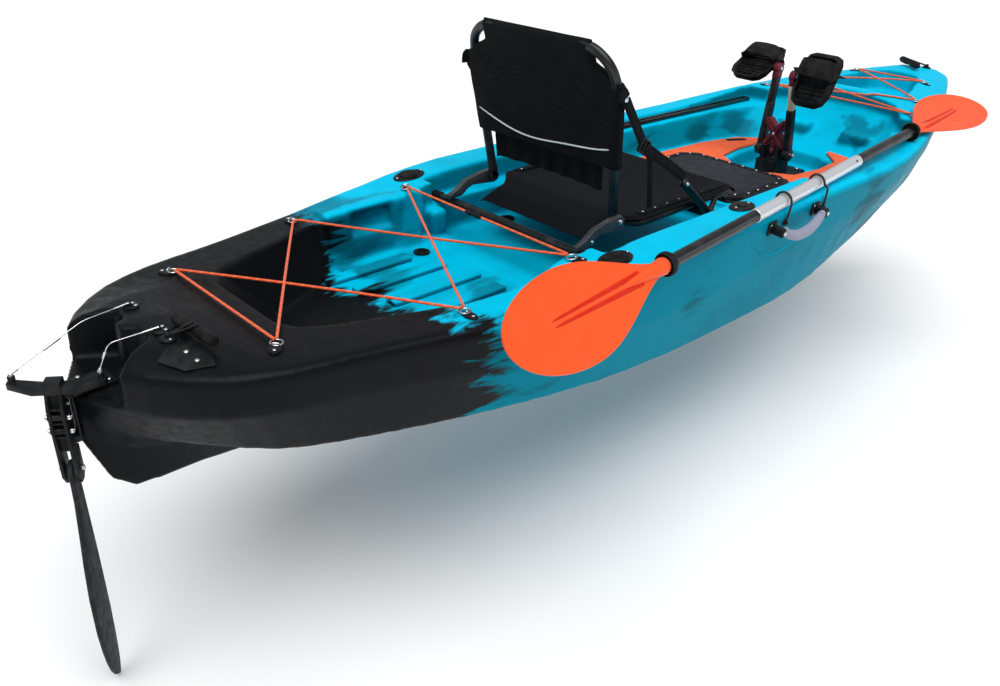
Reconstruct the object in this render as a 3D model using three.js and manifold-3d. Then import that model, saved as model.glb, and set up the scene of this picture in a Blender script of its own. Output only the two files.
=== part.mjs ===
// A sit-on-top pedal kayak: hull, raised chair, fin drive, rudder, lashings, gear rails and paddle.
// Millimetres. +X starboard, +Y towards the bow, +Z up. The origin is on the flat of the keel, mid-length.
import * as THREE from "three";
import { mergeVertices } from "three/addons/utils/BufferGeometryUtils.js";
import Module from "manifold-3d";

const wasm = await Module();
wasm.setup();

// Driving sizes of the whole boat
const LENGTH = 3140;
const BEAM = 844;
const DEPTH = 345;
const WALL = 6;
const GAP = 0.3;
const OVERRUN = 60;
const HALF = 0.5;
const HALF_BEAM = BEAM * HALF;
const RIGHT_ANGLE = Math.PI / 2;

const finish = (color, roughness, metalness = 0) =>
  new THREE.MeshStandardMaterial({ color, roughness, metalness });
const MATERIAL = {
  hull: finish(0x12a0b8, 0.35),
  blackPlastic: finish(0x16171a, 0.5),
  tube: finish(0x1b1c1f, 0.35, 0.6),
  casting: finish(0x6c6f74, 0.4, 0.6),
  fabric: finish(0x141517, 0.9),
  steel: finish(0xc8cbd0, 0.25, 1),
  silver: finish(0xbfc3c8, 0.3, 0.9),
  orange: finish(0xf06a2a, 0.4),
  bungee: finish(0xf0702c, 0.7),
  foam: finish(0xee6a35, 0.85),
  burgundy: finish(0x6d1628, 0.35, 0.4),
  lid: finish(0x2c2e33, 0.6),
  grip: finish(0x8f9298, 0.5),
};

// Places along the boat, as shares of its length from the stern
const alongShares = {
  rudderPin: -0.0055,
  platform: 0.026,
  cableOutlet: 0.043,
  toggle: 0.0602,
  drain: 0.12,
  eyes: [0.0904, 0.201, 0.3016],
  rodHolder: 0.3185,
  rearBar: 0.33,
  deckMount: 0.463,
  hatch: 0.58,
  drive: 0.6815,
  rail: [0.573, 0.7707],
  paddle: 0.5287,
  bowEyes: [0.786, 0.828, 0.895],
  bowToggle: 0.9475,
};
const along = (share) => (share - HALF) * LENGTH;

// Smooth curve through [share, value share] rows, without overshoot.
function smooth(rows) {
  const steps = rows.slice(1).map((row, i) => (row[1] - rows[i][1]) / (row[0] - rows[i][0]));
  const slopes = rows.map((_, i) => {
    const before = steps[i - 1] ?? steps[i];
    const after = steps[i] ?? steps[i - 1];
    return before * after <= 0 ? 0 : 2 / (1 / before + 1 / after);
  });
  return (t) => {
    const last = rows.length - 2;
    const i = Math.min(last, Math.max(0, rows.findLastIndex((row) => row[0] <= t)));
    const width = rows[i + 1][0] - rows[i][0];
    const u = THREE.MathUtils.clamp((t - rows[i][0]) / width, 0, 1);
    const v = 1 - u;
    return (
      rows[i][1] * (1 + 2 * u) * v * v +
      rows[i + 1][1] * u * u * (3 - 2 * u) +
      width * u * v * (slopes[i] * v - slopes[i + 1] * u)
    );
  };
}

// Hull form: [share of length, share of half beam or of depth]
const beamShares = smooth([
  [0, 0.09], [0.008, 0.2], [0.019, 0.33], [0.035, 0.47], [0.058, 0.6], [0.089, 0.69], [0.13, 0.75],
  [0.207, 0.89], [0.258, 0.965], [0.309, 0.991], [0.5, 1], [0.6, 1], [0.675, 0.979], [0.723, 0.924],
  [0.78, 0.81], [0.828, 0.69], [0.873, 0.56], [0.914, 0.43], [0.952, 0.31], [0.978, 0.21],
  [0.992, 0.13], [1, 0.07],
]);
const sheerShares = smooth([
  [0, 0.87], [0.019, 0.928], [0.089, 0.916], [0.207, 0.901], [0.277, 0.933], [0.325, 0.98],
  [0.373, 1], [0.66, 1], [0.723, 1.029], [0.78, 1.078], [0.85, 1.125], [0.914, 1.151],
  [0.962, 1.159], [0.985, 1.13], [1, 1.06],
]);
const keelShares = smooth([
  [0, 0.43], [0.008, 0.2], [0.017, 0.09], [0.028, 0.035], [0.06, 0.035], [0.1, 0.02], [0.15, 0], [0.83, 0],
  [0.89, 0.02], [0.94, 0.09], [0.97, 0.22], [0.99, 0.5], [1, 0.85],
]);
const keelWidthShares = smooth([
  [0, 0.018], [0.06, 0.022], [0.12, 0.045], [0.2, 0.07], [0.8, 0.07], [0.95, 0.06], [1, 0.04],
]);
const bilgeWidthShares = smooth([
  [0, 0.03], [0.019, 0.052], [0.054, 0.105], [0.102, 0.21], [0.166, 0.32], [0.245, 0.425],
  [0.341, 0.525], [0.436, 0.57], [0.6, 0.555], [0.66, 0.51], [0.723, 0.43], [0.787, 0.335],
  [0.85, 0.26], [0.914, 0.21], [0.952, 0.19], [0.978, 0.15], [0.994, 0.085], [1, 0.05],
]);
const bilgeHeightShares = smooth([
  [0, 0.6], [0.019, 0.35], [0.054, 0.29], [0.102, 0.243], [0.166, 0.162], [0.245, 0.1],
  [0.341, 0.052], [0.436, 0.04], [0.6, 0.046], [0.66, 0.058], [0.723, 0.087], [0.787, 0.125],
  [0.85, 0.16], [0.914, 0.2], [0.952, 0.25], [0.978, 0.34], [0.994, 0.6], [1, 0.9],
]);
const chineWidthShares = smooth([
  [0, 0.045], [0.019, 0.145], [0.045, 0.3], [0.089, 0.53], [0.13, 0.628], [0.166, 0.682],
  [0.213, 0.758], [0.277, 0.822], [0.341, 0.848], [0.424, 0.86], [0.516, 0.86], [0.58, 0.841],
  [0.64, 0.794], [0.7, 0.711], [0.755, 0.611], [0.82, 0.498], [0.866, 0.422], [0.914, 0.336],
  [0.952, 0.265], [0.978, 0.2], [0.994, 0.12], [1, 0.07],
]);
const chineHeightShares = smooth([
  [0, 0.68], [0.019, 0.48], [0.045, 0.42], [0.089, 0.348], [0.13, 0.313], [0.166, 0.275],
  [0.213, 0.24], [0.277, 0.188], [0.341, 0.139], [0.424, 0.119], [0.516, 0.125], [0.58, 0.168],
  [0.64, 0.25], [0.7, 0.27], [0.82, 0.27], [0.866, 0.29], [0.914, 0.377], [0.952, 0.435],
  [0.978, 0.536], [0.994, 0.75], [1, 0.95],
]);
const knuckleHeightShares = smooth([
  [0, 0.76], [0.019, 0.71], [0.054, 0.69], [0.118, 0.667], [0.213, 0.614], [0.309, 0.557],
  [0.395, 0.551], [0.455, 0.594], [0.522, 0.643], [0.596, 0.7], [0.66, 0.76], [0.723, 0.826],
  [0.787, 0.875], [0.85, 0.905], [0.914, 0.933], [0.978, 0.97], [1, 1.02],
]);
const crownShares = smooth([
  [0, 0.08], [0.05, 0.07], [0.085, 0.02], [0.1, 0.01], [0.3, 0], [0.7, 0], [0.8, 0.04], [0.95, 0.05],
  [1, 0.02],
]);
const knuckleShare = 0.965;
const GUNWALE = { lip: 18, round: 5 };

// One cross-section of the hull as [x, z] points, up the middle of the deck and once round.
function section(t) {
  const b = HALF_BEAM * beamShares(t);
  const top = DEPTH * sheerShares(t);
  const crown = DEPTH * crownShares(t);
  const lip = Math.min(GUNWALE.lip, b * 0.3);
  const round = Math.min(GUNWALE.round, b * 0.1);
  const side = [
    [b * HALF, top + crown * 0.75],
    [b - lip, top],
    [b - round, top - round],
    [b, top - lip],
    [b * knuckleShare, DEPTH * knuckleHeightShares(t)],
    [HALF_BEAM * chineWidthShares(t), DEPTH * chineHeightShares(t)],
    [HALF_BEAM * bilgeWidthShares(t), DEPTH * bilgeHeightShares(t)],
    [HALF_BEAM * keelWidthShares(t), DEPTH * keelShares(t)],
  ];
  return [[0, top + crown], ...side, ...side.map(([x, z]) => [-x, z]).reverse()].map(
    ([x, z]) => new THREE.Vector2(x, z),
  );
}

// Moves each side of a closed outline by a distance, outwards if it is positive.
function offset(outline, distance) {
  const sign = THREE.ShapeUtils.area(outline) > 0 ? 1 : -1;
  return outline.map((p, i) => {
    const a = outline[(i + outline.length - 1) % outline.length];
    const c = outline[(i + 1) % outline.length];
    const before = p.clone().sub(a).normalize();
    const after = c.clone().sub(p).normalize();
    const n1 = new THREE.Vector2(before.y, -before.x);
    const n2 = new THREE.Vector2(after.y, -after.x);
    const miter = n1.add(n2).multiplyScalar(1 / Math.max(HALF, 1 + n1.dot(n2)));
    return p.clone().addScaledVector(miter, sign * distance);
  });
}

// A closed surface through rings of equal count, with its two ends filled.
function loft(rings, flat) {
  const count = rings[0].length;
  const index = [];
  for (let r = 0; r + 1 < rings.length; r++)
    for (let i = 0; i < count; i++) {
      const a = r * count + i;
      const b = r * count + ((i + 1) % count);
      index.push(a, b, b + count, a, b + count, a + count);
    }
  const cap = (r, turned) =>
    THREE.ShapeUtils.triangulateShape(rings[r].map(flat), []).forEach((f) => {
      const [a, b, c] = f.map((i) => r * count + i);
      index.push(...(turned ? [a, c, b] : [a, b, c]));
    });
  const fill = THREE.ShapeUtils.area(rings[0].map(flat)) > 0;
  cap(0, fill);
  cap(rings.length - 1, !fill);
  const geometry = new THREE.BufferGeometry().setFromPoints(rings.flat());
  geometry.setIndex(index);
  return facing(geometry);
}

// Turns a closed surface's faces outwards by the sign of its volume.
function facing(geometry) {
  const p = geometry.attributes.position;
  const index = Array.from(geometry.index.array);
  const [a, b, c] = [new THREE.Vector3(), new THREE.Vector3(), new THREE.Vector3()];
  let volume = 0;
  for (let i = 0; i < index.length; i += 3) {
    a.fromBufferAttribute(p, index[i]);
    b.fromBufferAttribute(p, index[i + 1]);
    c.fromBufferAttribute(p, index[i + 2]);
    volume += a.dot(b.cross(c));
  }
  if (volume < 0) geometry.setIndex(index.reverse());
  return geometry;
}

function solid(geometry) {
  if (geometry instanceof wasm.Manifold) return geometry;
  const bare = geometry.clone();
  bare.deleteAttribute("normal");
  bare.deleteAttribute("uv");
  const merged = mergeVertices(bare, 1e-4);
  return new wasm.Manifold(
    new wasm.Mesh({
      numProp: 3,
      vertProperties: new Float32Array(merged.attributes.position.array),
      triVerts: new Uint32Array(merged.index.array),
    }),
  );
}
const join = (...pieces) => pieces.flat().map(solid).reduce((a, b) => a.add(b));
const cut = (piece, ...tools) => tools.flat().map(solid).reduce((a, b) => a.subtract(b), solid(piece));

function geometryOf(piece) {
  const mesh = piece.getMesh();
  const geometry = new THREE.BufferGeometry();
  geometry.setAttribute("position", new THREE.BufferAttribute(mesh.vertProperties, 3));
  geometry.setIndex(new THREE.BufferAttribute(mesh.triVerts, 1));
  geometry.computeVertexNormals();
  return geometry;
}

function piece(name, shape, material, parent) {
  const mesh = new THREE.Mesh(geometryOf(solid(shape)), material);
  mesh.name = name;
  parent.add(mesh);
  return mesh;
}

// Plain solids, each centred where it is told
const at = (geometry, x, y, z) => geometry.translate(x, y, z);
const box = (w, d, h, x, y, z) => at(new THREE.BoxGeometry(w, d, h), x, y, z);
const upright = (r, h, x, y, z, sides = 12) =>
  at(new THREE.CylinderGeometry(r, r, h, sides).rotateX(RIGHT_ANGLE), x, y, z);
const crosswise = (r, w, x, y, z, sides = 12) =>
  at(new THREE.CylinderGeometry(r, r, w, sides).rotateZ(RIGHT_ANGLE), x, y, z);
const lengthwise = (r, d, x, y, z, sides = 12) => at(new THREE.CylinderGeometry(r, r, d, sides), x, y, z);
const vec = (x, y, z) => new THREE.Vector3(x, y, z);

// A straight round rod between two points.
function rod(a, b, r, sides = 8, endRadius = r) {
  const span = b.clone().sub(a);
  const turn = new THREE.Quaternion().setFromUnitVectors(vec(0, 1, 0), span.clone().normalize());
  const middle = a.clone().addScaledVector(span, HALF);
  return new THREE.CylinderGeometry(endRadius, r, span.length(), sides)
    .applyQuaternion(turn)
    .translate(middle.x, middle.y, middle.z);
}

// A round tube of one radius through a list of points, mitred at its bends.
function sweep(points, r, sides = 8) {
  const spans = points.slice(1).map((p, i) => p.clone().sub(points[i]).normalize());
  const across = vec(spans[0].z, spans[0].x, spans[0].y).cross(spans[0]).normalize();
  const beside = spans[0].clone().cross(across);
  const angles = Array.from({ length: sides }, (_, k) => (k * 2 * Math.PI) / sides);
  let ring = angles.map((t) => points[0].clone()
    .addScaledVector(across, r * Math.cos(t)).addScaledVector(beside, r * Math.sin(t)));
  const rings = [ring];
  spans.forEach((span, i) => {
    const normal = span.clone().add(spans[i + 1] ?? span).normalize();
    ring = ring.map((v) =>
      v.clone().addScaledVector(span, points[i + 1].clone().sub(v).dot(normal) / span.dot(normal)));
    rings.push(ring);
  });
  return loft(rings, (_, k) => new THREE.Vector2(Math.cos(angles[k]), Math.sin(angles[k])));
}

// A flat bar between two points, broad across the length in the YZ plane and thin along X.
function webbing(a, b, width, thick) {
  const span = b.clone().sub(a);
  const middle = a.clone().addScaledVector(span, HALF);
  return new THREE.BoxGeometry(thick, span.length(), width)
    .rotateX(Math.atan2(span.z, span.y))
    .translate(middle.x, middle.y, middle.z);
}

// A plate whose outline lies in XY, from low to high.
function plate(outline, low, high) {
  const shape = new THREE.Shape(outline.map(([x, y]) => new THREE.Vector2(x, y)));
  return new THREE.ExtrudeGeometry(shape, { depth: high - low, bevelEnabled: false }).translate(0, 0, low);
}

// A plate whose outline lies in YZ, from one X to another.
function sidePlate(outline, from, to) {
  const shape = new THREE.Shape(outline.map(([y, z]) => new THREE.Vector2(y, z)));
  return new THREE.ExtrudeGeometry(shape, { depth: to - from, bevelEnabled: false })
    .rotateX(RIGHT_ANGLE)
    .rotateZ(RIGHT_ANGLE)
    .translate(from, 0, 0);
}

// The corners of a rounded or chamfered rectangle.
const chamfered = (w, d, c, x = 0, y = 0) => [
  [x - w + c, y - d], [x + w - c, y - d], [x + w, y - d + c], [x + w, y + d - c],
  [x + w - c, y + d], [x - w + c, y + d], [x - w, y + d - c], [x - w, y - d + c],
];

const kayak = new THREE.Group();

// Hollows of the deck. Their half outlines are [share of half beam, share of length].
const levelShares = {
  tankFloor: 0.565, seatFloor: 0.58, ledge: 0.817, footFloor: 0.681, platform: 0.73, railLedge: 0.942,
  driveBowl: 0.551, bowWell: 1, hatchTub: 0.203,
};
const levels = Object.fromEntries(Object.entries(levelShares).map(([name, share]) => [name, share * DEPTH]));
const wellShares = {
  tank: {
    top: [
      [0.28, 0.099], [0.39, 0.107], [0.47, 0.131], [0.58, 0.175], [0.66, 0.207], [0.69, 0.239], [0.69, 0.271],
      [0.63, 0.29], [0.61, 0.316],
    ],
    floor: [
      [0.21, 0.143], [0.31, 0.15], [0.37, 0.169], [0.47, 0.2], [0.56, 0.223], [0.6, 0.245], [0.6, 0.271],
      [0.56, 0.287], [0.53, 0.312],
    ],
  },
  seat: { top: [[0.645, 0.309], [0.645, 0.5255]], floor: [[0.62, 0.3], [0.62, 0.52]] },
  ledge: { top: [[0.74, 0.322], [0.74, 0.54]], floor: [[0.735, 0.324], [0.735, 0.538]] },
  foot: {
    top: [[0.74, 0.512], [0.74, 0.58], [0.675, 0.723], [0.59, 0.771], [0.4, 0.806], [0.12, 0.818]],
    floor: [[0.675, 0.514], [0.68, 0.596], [0.64, 0.675], [0.557, 0.723], [0.355, 0.755], [0.095, 0.761]],
  },
  rail: { top: [[0.836, 0.567], [0.758, 0.776]], floor: [[0.836, 0.567], [0.758, 0.776]] },
  drive: {
    top: [[0.12, 0.634], [0.27, 0.659], [0.3, 0.691], [0.285, 0.723], [0.12, 0.738]],
    floor: [[0.11, 0.64], [0.24, 0.661], [0.265, 0.691], [0.25, 0.72], [0.11, 0.731]],
  },
  bow: {
    top: [[0.37, 0.831], [0.31, 0.863], [0.2, 0.908], [0.12, 0.92]],
    floor: [[0.34, 0.838], [0.28, 0.865], [0.18, 0.901], [0.1, 0.911]],
  },
  notch: {
    top: [[0.4, -0.02], [0.26, 0.0175], [0.152, 0.0395], [0.066, 0.039], [0.03, 0.031]],
    floor: [[0.4, -0.02], [0.25, 0.0175], [0.15, 0.038], [0.066, 0.0375], [0.03, 0.03]],
  },
};
const hatch = { halfWidth: 186, halfLength: 135, chamfer: 38, tubHalfWidth: 145, tubHalfLength: 100 };
const slot = { halfWidth: 24, halfLength: 130 };
const scupper = { radius: 16, sides: 10, placeShares: [[0.474, 0.293], [0.535, 0.392]] };
const rodTube = { bore: 26, depth: 190, outShare: 0.83 };
const bowRimShare = 1.16;
const SIDES = [["port", -1], ["starboard", 1]];

const outlineOf = (halfShares) =>
  [...halfShares, ...[...halfShares].reverse().map(([x, y]) => [-x, y])].map(
    ([x, y]) => new THREE.Vector2(x * HALF_BEAM, along(y)),
  );

// A hollow between a floor outline and a top outline, open upwards, grown all round by a wall.
function hollow({ top, floor }, floorZ, rim, grow = 0) {
  const ring = (outline, z) => offset(outline, grow).map((p) => vec(p.x, p.y, z));
  const [low, high] = [outlineOf(floor), outlineOf(top)];
  const rings = [ring(low, floorZ - grow), ring(high, rim), ring(high, rim + DEPTH)];
  return loft(rings, (p) => new THREE.Vector2(p.x, p.y));
}

// The hatch platform stands up in the foot well.
function platformBlock(grow) {
  const half = (size) => size + hatch.chamfer * HALF - grow;
  const [low, high] = [-OVERRUN, levels.platform - grow];
  const y = along(alongShares.hatch);
  return box(half(hatch.halfWidth) * 2, half(hatch.halfLength) * 2, high - low, 0, y, (high + low) * HALF);
}

function scupperHoles(grow) {
  const high = levels.ledge + OVERRUN;
  const radius = scupper.radius + grow;
  return scupper.placeShares.flatMap(([x, y]) => SIDES.map(([, s]) =>
    upright(radius, high, s * x * HALF_BEAM, along(y), high * HALF - OVERRUN, scupper.sides)));
}

function hollows(grow) {
  const rect = (halfWidth, halfLength, share, low, high) => {
    const middle = (high + low - grow) * HALF;
    return box((halfWidth + grow) * 2, (halfLength + grow) * 2, high - low + grow, 0, along(share), middle);
  };
  return join(
    hollow(wellShares.tank, levels.tankFloor, DEPTH, grow),
    hollow(wellShares.seat, levels.seatFloor, levels.ledge, grow),
    hollow(wellShares.ledge, levels.ledge, DEPTH, grow),
    cut(hollow(wellShares.foot, levels.footFloor, DEPTH, grow), platformBlock(grow)),
    hollow(wellShares.rail, levels.railLedge, DEPTH, grow),
    hollow(wellShares.drive, levels.driveBowl, levels.footFloor, grow),
    hollow(wellShares.bow, levels.bowWell, DEPTH * bowRimShare, grow),
    rect(hatch.tubHalfWidth, hatch.tubHalfLength, alongShares.hatch, levels.hatchTub, DEPTH),
    rect(slot.halfWidth, slot.halfLength, alongShares.drive, -OVERRUN, levels.footFloor),
    scupperHoles(grow),
  );
}

// The moulded hull: a shell round one air space, open only at the drain hole and the rod-holder bores.
const stationCount = 46;
const roomShares = [0.062, 0.968];
const drain = { radius: 10, heightShare: 0.72 };
function hullShell() {
  const spread = (u) => (u + (1 - Math.cos(Math.PI * u)) * HALF) * HALF;
  const stations = Array.from({ length: stationCount + 1 }, (_, i) => spread(i / stationCount));
  const [from, to] = roomShares;
  const roomStations = [from, ...stations.filter((t) => t > from && t < to), to];
  const ring = (t, inset) => offset(section(t), -inset).map((p) => vec(p.x, along(t), p.y));
  const skin = (places, inset) =>
    solid(loft(places.map((t) => ring(t, inset)), (p) => new THREE.Vector2(p.x, p.z)));
  const room = cut(skin(roomStations, WALL), hollows(WALL));
  const notch = hollow(wellShares.notch, levels.platform, DEPTH);
  const drainX = -HALF_BEAM * beamShares(alongShares.drain);
  const [drainY, drainZ] = [along(alongShares.drain), DEPTH * drain.heightShare];
  const drainHole = crosswise(drain.radius, HALF_BEAM, drainX, drainY, drainZ);
  const [boreX, boreY] = [rodTube.outShare * HALF_BEAM, along(alongShares.rodHolder)];
  const bores = SIDES.map(([, s]) => upright(rodTube.bore, rodTube.depth, s * boreX, boreY, DEPTH));
  return cut(skin(stations, 0), room, notch, hollows(0), drainHole, bores);
}
const hullMesh = piece("hull", hullShell(), MATERIAL.hull, kayak);

// Where a ray meets the hull's outside, as a point and a normal.
const ray = new THREE.Raycaster();
function touch(from, direction) {
  ray.set(from, direction);
  const hit = ray.intersectObject(hullMesh)[0];
  return hit && { point: hit.point, normal: hit.face.normal.clone() };
}
const deck = (x, y) => touch(vec(x, y, 2 * DEPTH), vec(0, 0, -1));
const deckZ = (x, y) => deck(x, y)?.point.z ?? 0;

// A group whose local Z stands square on the deck and clear of it, from samples on a ring round it.
const ringDirections = [[1, 0], [-1, 0], [0, 1], [0, -1]];
function seatOn(x, y, reach, turn = 0) {
  const [east, west, north, south] = ringDirections.map(([i, j]) => deck(x + i * reach, y + j * reach).point);
  const point = east.clone().add(west).add(north).add(south).divideScalar(ringDirections.length);
  const normal = east.clone().sub(west).cross(north.clone().sub(south)).normalize();
  const samples = [...[east, west, north, south].map((p) => p.clone()), deck(x, y).point];
  const lift = Math.max(0, ...samples.map((p) => p.sub(point).dot(normal)));
  const group = new THREE.Group();
  group.position.copy(point).addScaledVector(normal, lift + GAP);
  group.quaternion.setFromUnitVectors(vec(0, 0, 1), normal).multiply(
    new THREE.Quaternion().setFromAxisAngle(vec(0, 0, 1), turn),
  );
  group.updateMatrixWorld(true);
  kayak.add(group);
  return group;
}

// Drain plug in the port side of the stern
const drainPlug = { shank: 9, head: 15, thick: 5, reach: 22 };
function addDrainPlug() {
  const [y, z] = [along(alongShares.drain), DEPTH * drain.heightShare];
  const { point, normal } = touch(vec(-HALF_BEAM * 2, y + drain.radius * 2.5, z), vec(1, 0, 0));
  const group = new THREE.Group();
  group.position.set(point.x, y, z);
  const { shank, head, thick, reach } = drainPlug;
  const lean = Math.max(Math.abs(normal.y), Math.abs(normal.z)) * head;
  const out = -lean * 1.5 - thick;
  piece("drain_plug", join(
    crosswise(shank, reach + lean, (reach - lean) * HALF, 0, 0),
    crosswise(head, thick, out, 0, 0),
    crosswise(shank, lean + thick, -lean - thick * HALF, 0, 0),
    box(thick * 2, thick, head * 1.4, out - thick, 0, 0)), MATERIAL.blackPlastic, group);
  kayak.add(group);
}
addDrainPlug();

// Pad eyes: an oval foot, a screw, and a D-ring standing across the pull of the cord
const eye = { length: 20, width: 12, thick: 4, screw: 4.5, ring: 11, wire: 1.8, post: 3 };
const eyeCentre = vec(0, eye.ring * 1.2, eye.thick + eye.wire * 3);
function padEye(size, around = 10) {
  const thick = eye.thick * size;
  const foot = at(new THREE.CylinderGeometry(1, 1, 1, 8).rotateX(RIGHT_ANGLE), 0, 0, HALF)
    .scale(eye.width * size, eye.length * size, thick);
  const screw = upright(eye.screw * size, thick, 0, -eye.length * HALF * size, thick, 6);
  const ring = new THREE.TorusGeometry(eye.ring * size, eye.wire * size, 4, around)
    .translate(0, eyeCentre.y * size, (eye.thick + eye.wire * 0.4) * size);
  const loop = box(eye.width * size, eye.post * size, thick, 0, eye.post * size * 0.7, thick);
  return join(foot, screw, ring, loop);
}

// Places an eye whose ring faces a point of the deck, and returns the middle of its ring.
function placeEye(x, y, facingX, facingY, size) {
  const turn = Math.atan2(facingX - x, y - facingY);
  const group = seatOn(x, y, eye.length * size, turn + Math.PI);
  const middle = eyeCentre.clone().multiplyScalar(size).applyMatrix4(group.matrixWorld);
  return { group, middle };
}

// Places a row of eye pairs, and returns them by names such as aft_port.
const ROWS = ["aft", "middle", "forward"];
function placeEyes(yShares, widthShares, facing, size) {
  return Object.fromEntries(ROWS.flatMap((row, i) => SIDES.map(([side, s]) => {
    const [x, y] = [s * widthShares[i] * HALF_BEAM, along(yShares[i])];
    return [`${row}_${side}`, placeEye(x, y, 0, facing(y), size)];
  })));
}

// An elastic cord laced round a closed loop of points, with a moulded hook in one run.
const cord = { radius: 2.6, sides: 5, hookReach: 46, hookRadius: 6 };
function overCrown([a, b]) {
  const steps = [0.25, 0.5, 0.75].map((t) => a.clone().lerp(b, t));
  const lift = Math.max(...steps.map((p) => deckZ(p.x, p.y) + cord.radius * 2 - p.z));
  return lift > 0 ? [[a, steps[1].add(vec(0, 0, lift))], [steps[1], b]] : [[a, b]];
}
function lacing(points, hookShare) {
  const straight = points.map((p, i) => [p, points[(i + 1) % points.length]]);
  const rods = straight.flatMap(overCrown).map(([a, b]) => rod(a, b, cord.radius, cord.sides));
  const knots = points.map((p) => at(new THREE.IcosahedronGeometry(cord.radius * 1.2, 0), p.x, p.y, p.z));
  const [a, b] = straight[points.length * HALF];
  const way = b.clone().sub(a).normalize().multiplyScalar(cord.hookReach * HALF);
  const middle = a.clone().lerp(b, hookShare);
  const hook = rod(middle.clone().sub(way), middle.clone().add(way), cord.hookRadius, 6);
  return join(rods, knots, hook);
}

// Lashing over the rear well: six pad eyes and one orange cord. Its hook is in the run across the front.
const rearLashing = {
  widthShares: [0.495, 0.751, 0.697],
  loop: ["aft_port", "aft_starboard", "middle_port", "forward_starboard", "forward_port", "middle_starboard"],
  hookShare: 0.55,
};
function addRearLashing() {
  const centre = along(alongShares.eyes[1]);
  const eyes = placeEyes(alongShares.eyes, rearLashing.widthShares, (y) => (centre + y) * HALF, 1);
  for (const [name, { group }] of Object.entries(eyes))
    piece(`rear_eye_${name}`, padEye(1), MATERIAL.steel, group);
  const points = rearLashing.loop.map((name) => eyes[name].middle);
  piece("rear_bungee", lacing(points, rearLashing.hookShare), MATERIAL.bungee, kayak);
}
addRearLashing();

// Lashing over the bow hollow: its six small pad eyes and its cord
const bowLashing = {
  widthShares: [0.64, 0.5, 0.31],
  loop: ["forward_starboard", "forward_port", "middle_starboard", "aft_port", "aft_starboard", "middle_port"],
  hookShare: 0.4,
  sizeShare: 0.8,
};
function addBowLashing() {
  const size = bowLashing.sizeShare;
  const eyes = placeEyes(alongShares.bowEyes, bowLashing.widthShares, (y) => y, size);
  const hold = vec(0, eyeCentre.y + eye.ring, eyeCentre.z * size).multiplyScalar(size);
  const points = bowLashing.loop.map((name) => hold.clone().applyMatrix4(eyes[name].group.matrixWorld));
  const fixed = Object.values(eyes).map(({ group }) =>
    solid(padEye(size, 7)).transform(group.matrixWorld.elements));
  piece("bow_lashing", join(lacing(points, bowLashing.hookShare), fixed), MATERIAL.bungee, kayak);
}
addBowLashing();

// Toggle handles on the decks of the stern and the bow
const toggle = { bar: 130, radius: 11, cordRadius: 3, padRadius: 14, padThick: 5 };
const togglePlaces = {
  stern_toggle: { x: 108, share: alongShares.toggle, turn: 0.08, padX: 94, padBack: 42 },
  bow_toggle: { x: -14, share: alongShares.bowToggle, turn: -0.68, padX: 30, padBack: -45 },
};
function addToggle(name, { x, share, turn, padX, padBack }) {
  const y = along(share);
  const pad = seatOn(padX, y - padBack, toggle.padRadius);
  const half = vec(Math.cos(turn), Math.sin(turn), 0).multiplyScalar(toggle.bar * HALF);
  const middle = vec(x, y, deck(x, y).point.z + GAP + toggle.radius * 1.4);
  const foot = upright(toggle.padRadius, toggle.padThick, 0, 0, toggle.padThick * HALF, 10)
    .applyMatrix4(pad.matrixWorld);
  const knot = vec(0, 0, toggle.padThick + toggle.cordRadius).applyMatrix4(pad.matrixWorld);
  const grip = rod(middle.clone().sub(half), middle.clone().add(half), toggle.radius, 10);
  const cords = [-1, 1].map((s) =>
    rod(knot, middle.clone().addScaledVector(half, s * 0.2), toggle.cordRadius, 6));
  const ball = at(new THREE.SphereGeometry(toggle.cordRadius * 1.6, 6, 4), knot.x, knot.y, knot.z);
  piece(name, join(foot, grip, cords, ball), MATERIAL.blackPlastic, kayak);
}
for (const [name, place] of Object.entries(togglePlaces)) addToggle(name, place);

// Gear rails on the inner edges of the gunwales
const rail = {
  width: 28, height: 12, slotHalf: 9, mouthHalf: 5, slotDepth: 7, wall: 3, widthShares: [0.794, 0.725],
};
function addRails() {
  const { height, wall, slotDepth } = rail;
  const w = rail.width * HALF;
  for (const [side, s] of SIDES) {
    const [aft, fore] = alongShares.rail.map((y, i) =>
      vec(s * rail.widthShares[i] * HALF_BEAM, along(y), levels.railLedge + GAP));
    const span = fore.clone().sub(aft);
    const past = span.length() * 2;
    const channel = cut(
      box(rail.width, span.length(), height, 0, 0, height * HALF),
      box(rail.mouthHalf * 2, past, height, 0, 0, height * 1.5 - wall),
      box(rail.slotHalf * 2, past, slotDepth - wall, 0, 0, height - wall - (slotDepth - wall) * HALF),
      [-1, 1].map((t) => box(w, past, wall, t * (w * 1.5 - wall * HALF), 0, wall * HALF)),
    );
    const group = new THREE.Group();
    group.position.copy(aft).addScaledVector(span, HALF);
    group.rotation.z = Math.atan2(-span.x, span.y);
    piece(`gear_rail_${side}`, channel, MATERIAL.tube, group);
    kayak.add(group);
  }
}
addRails();

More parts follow.
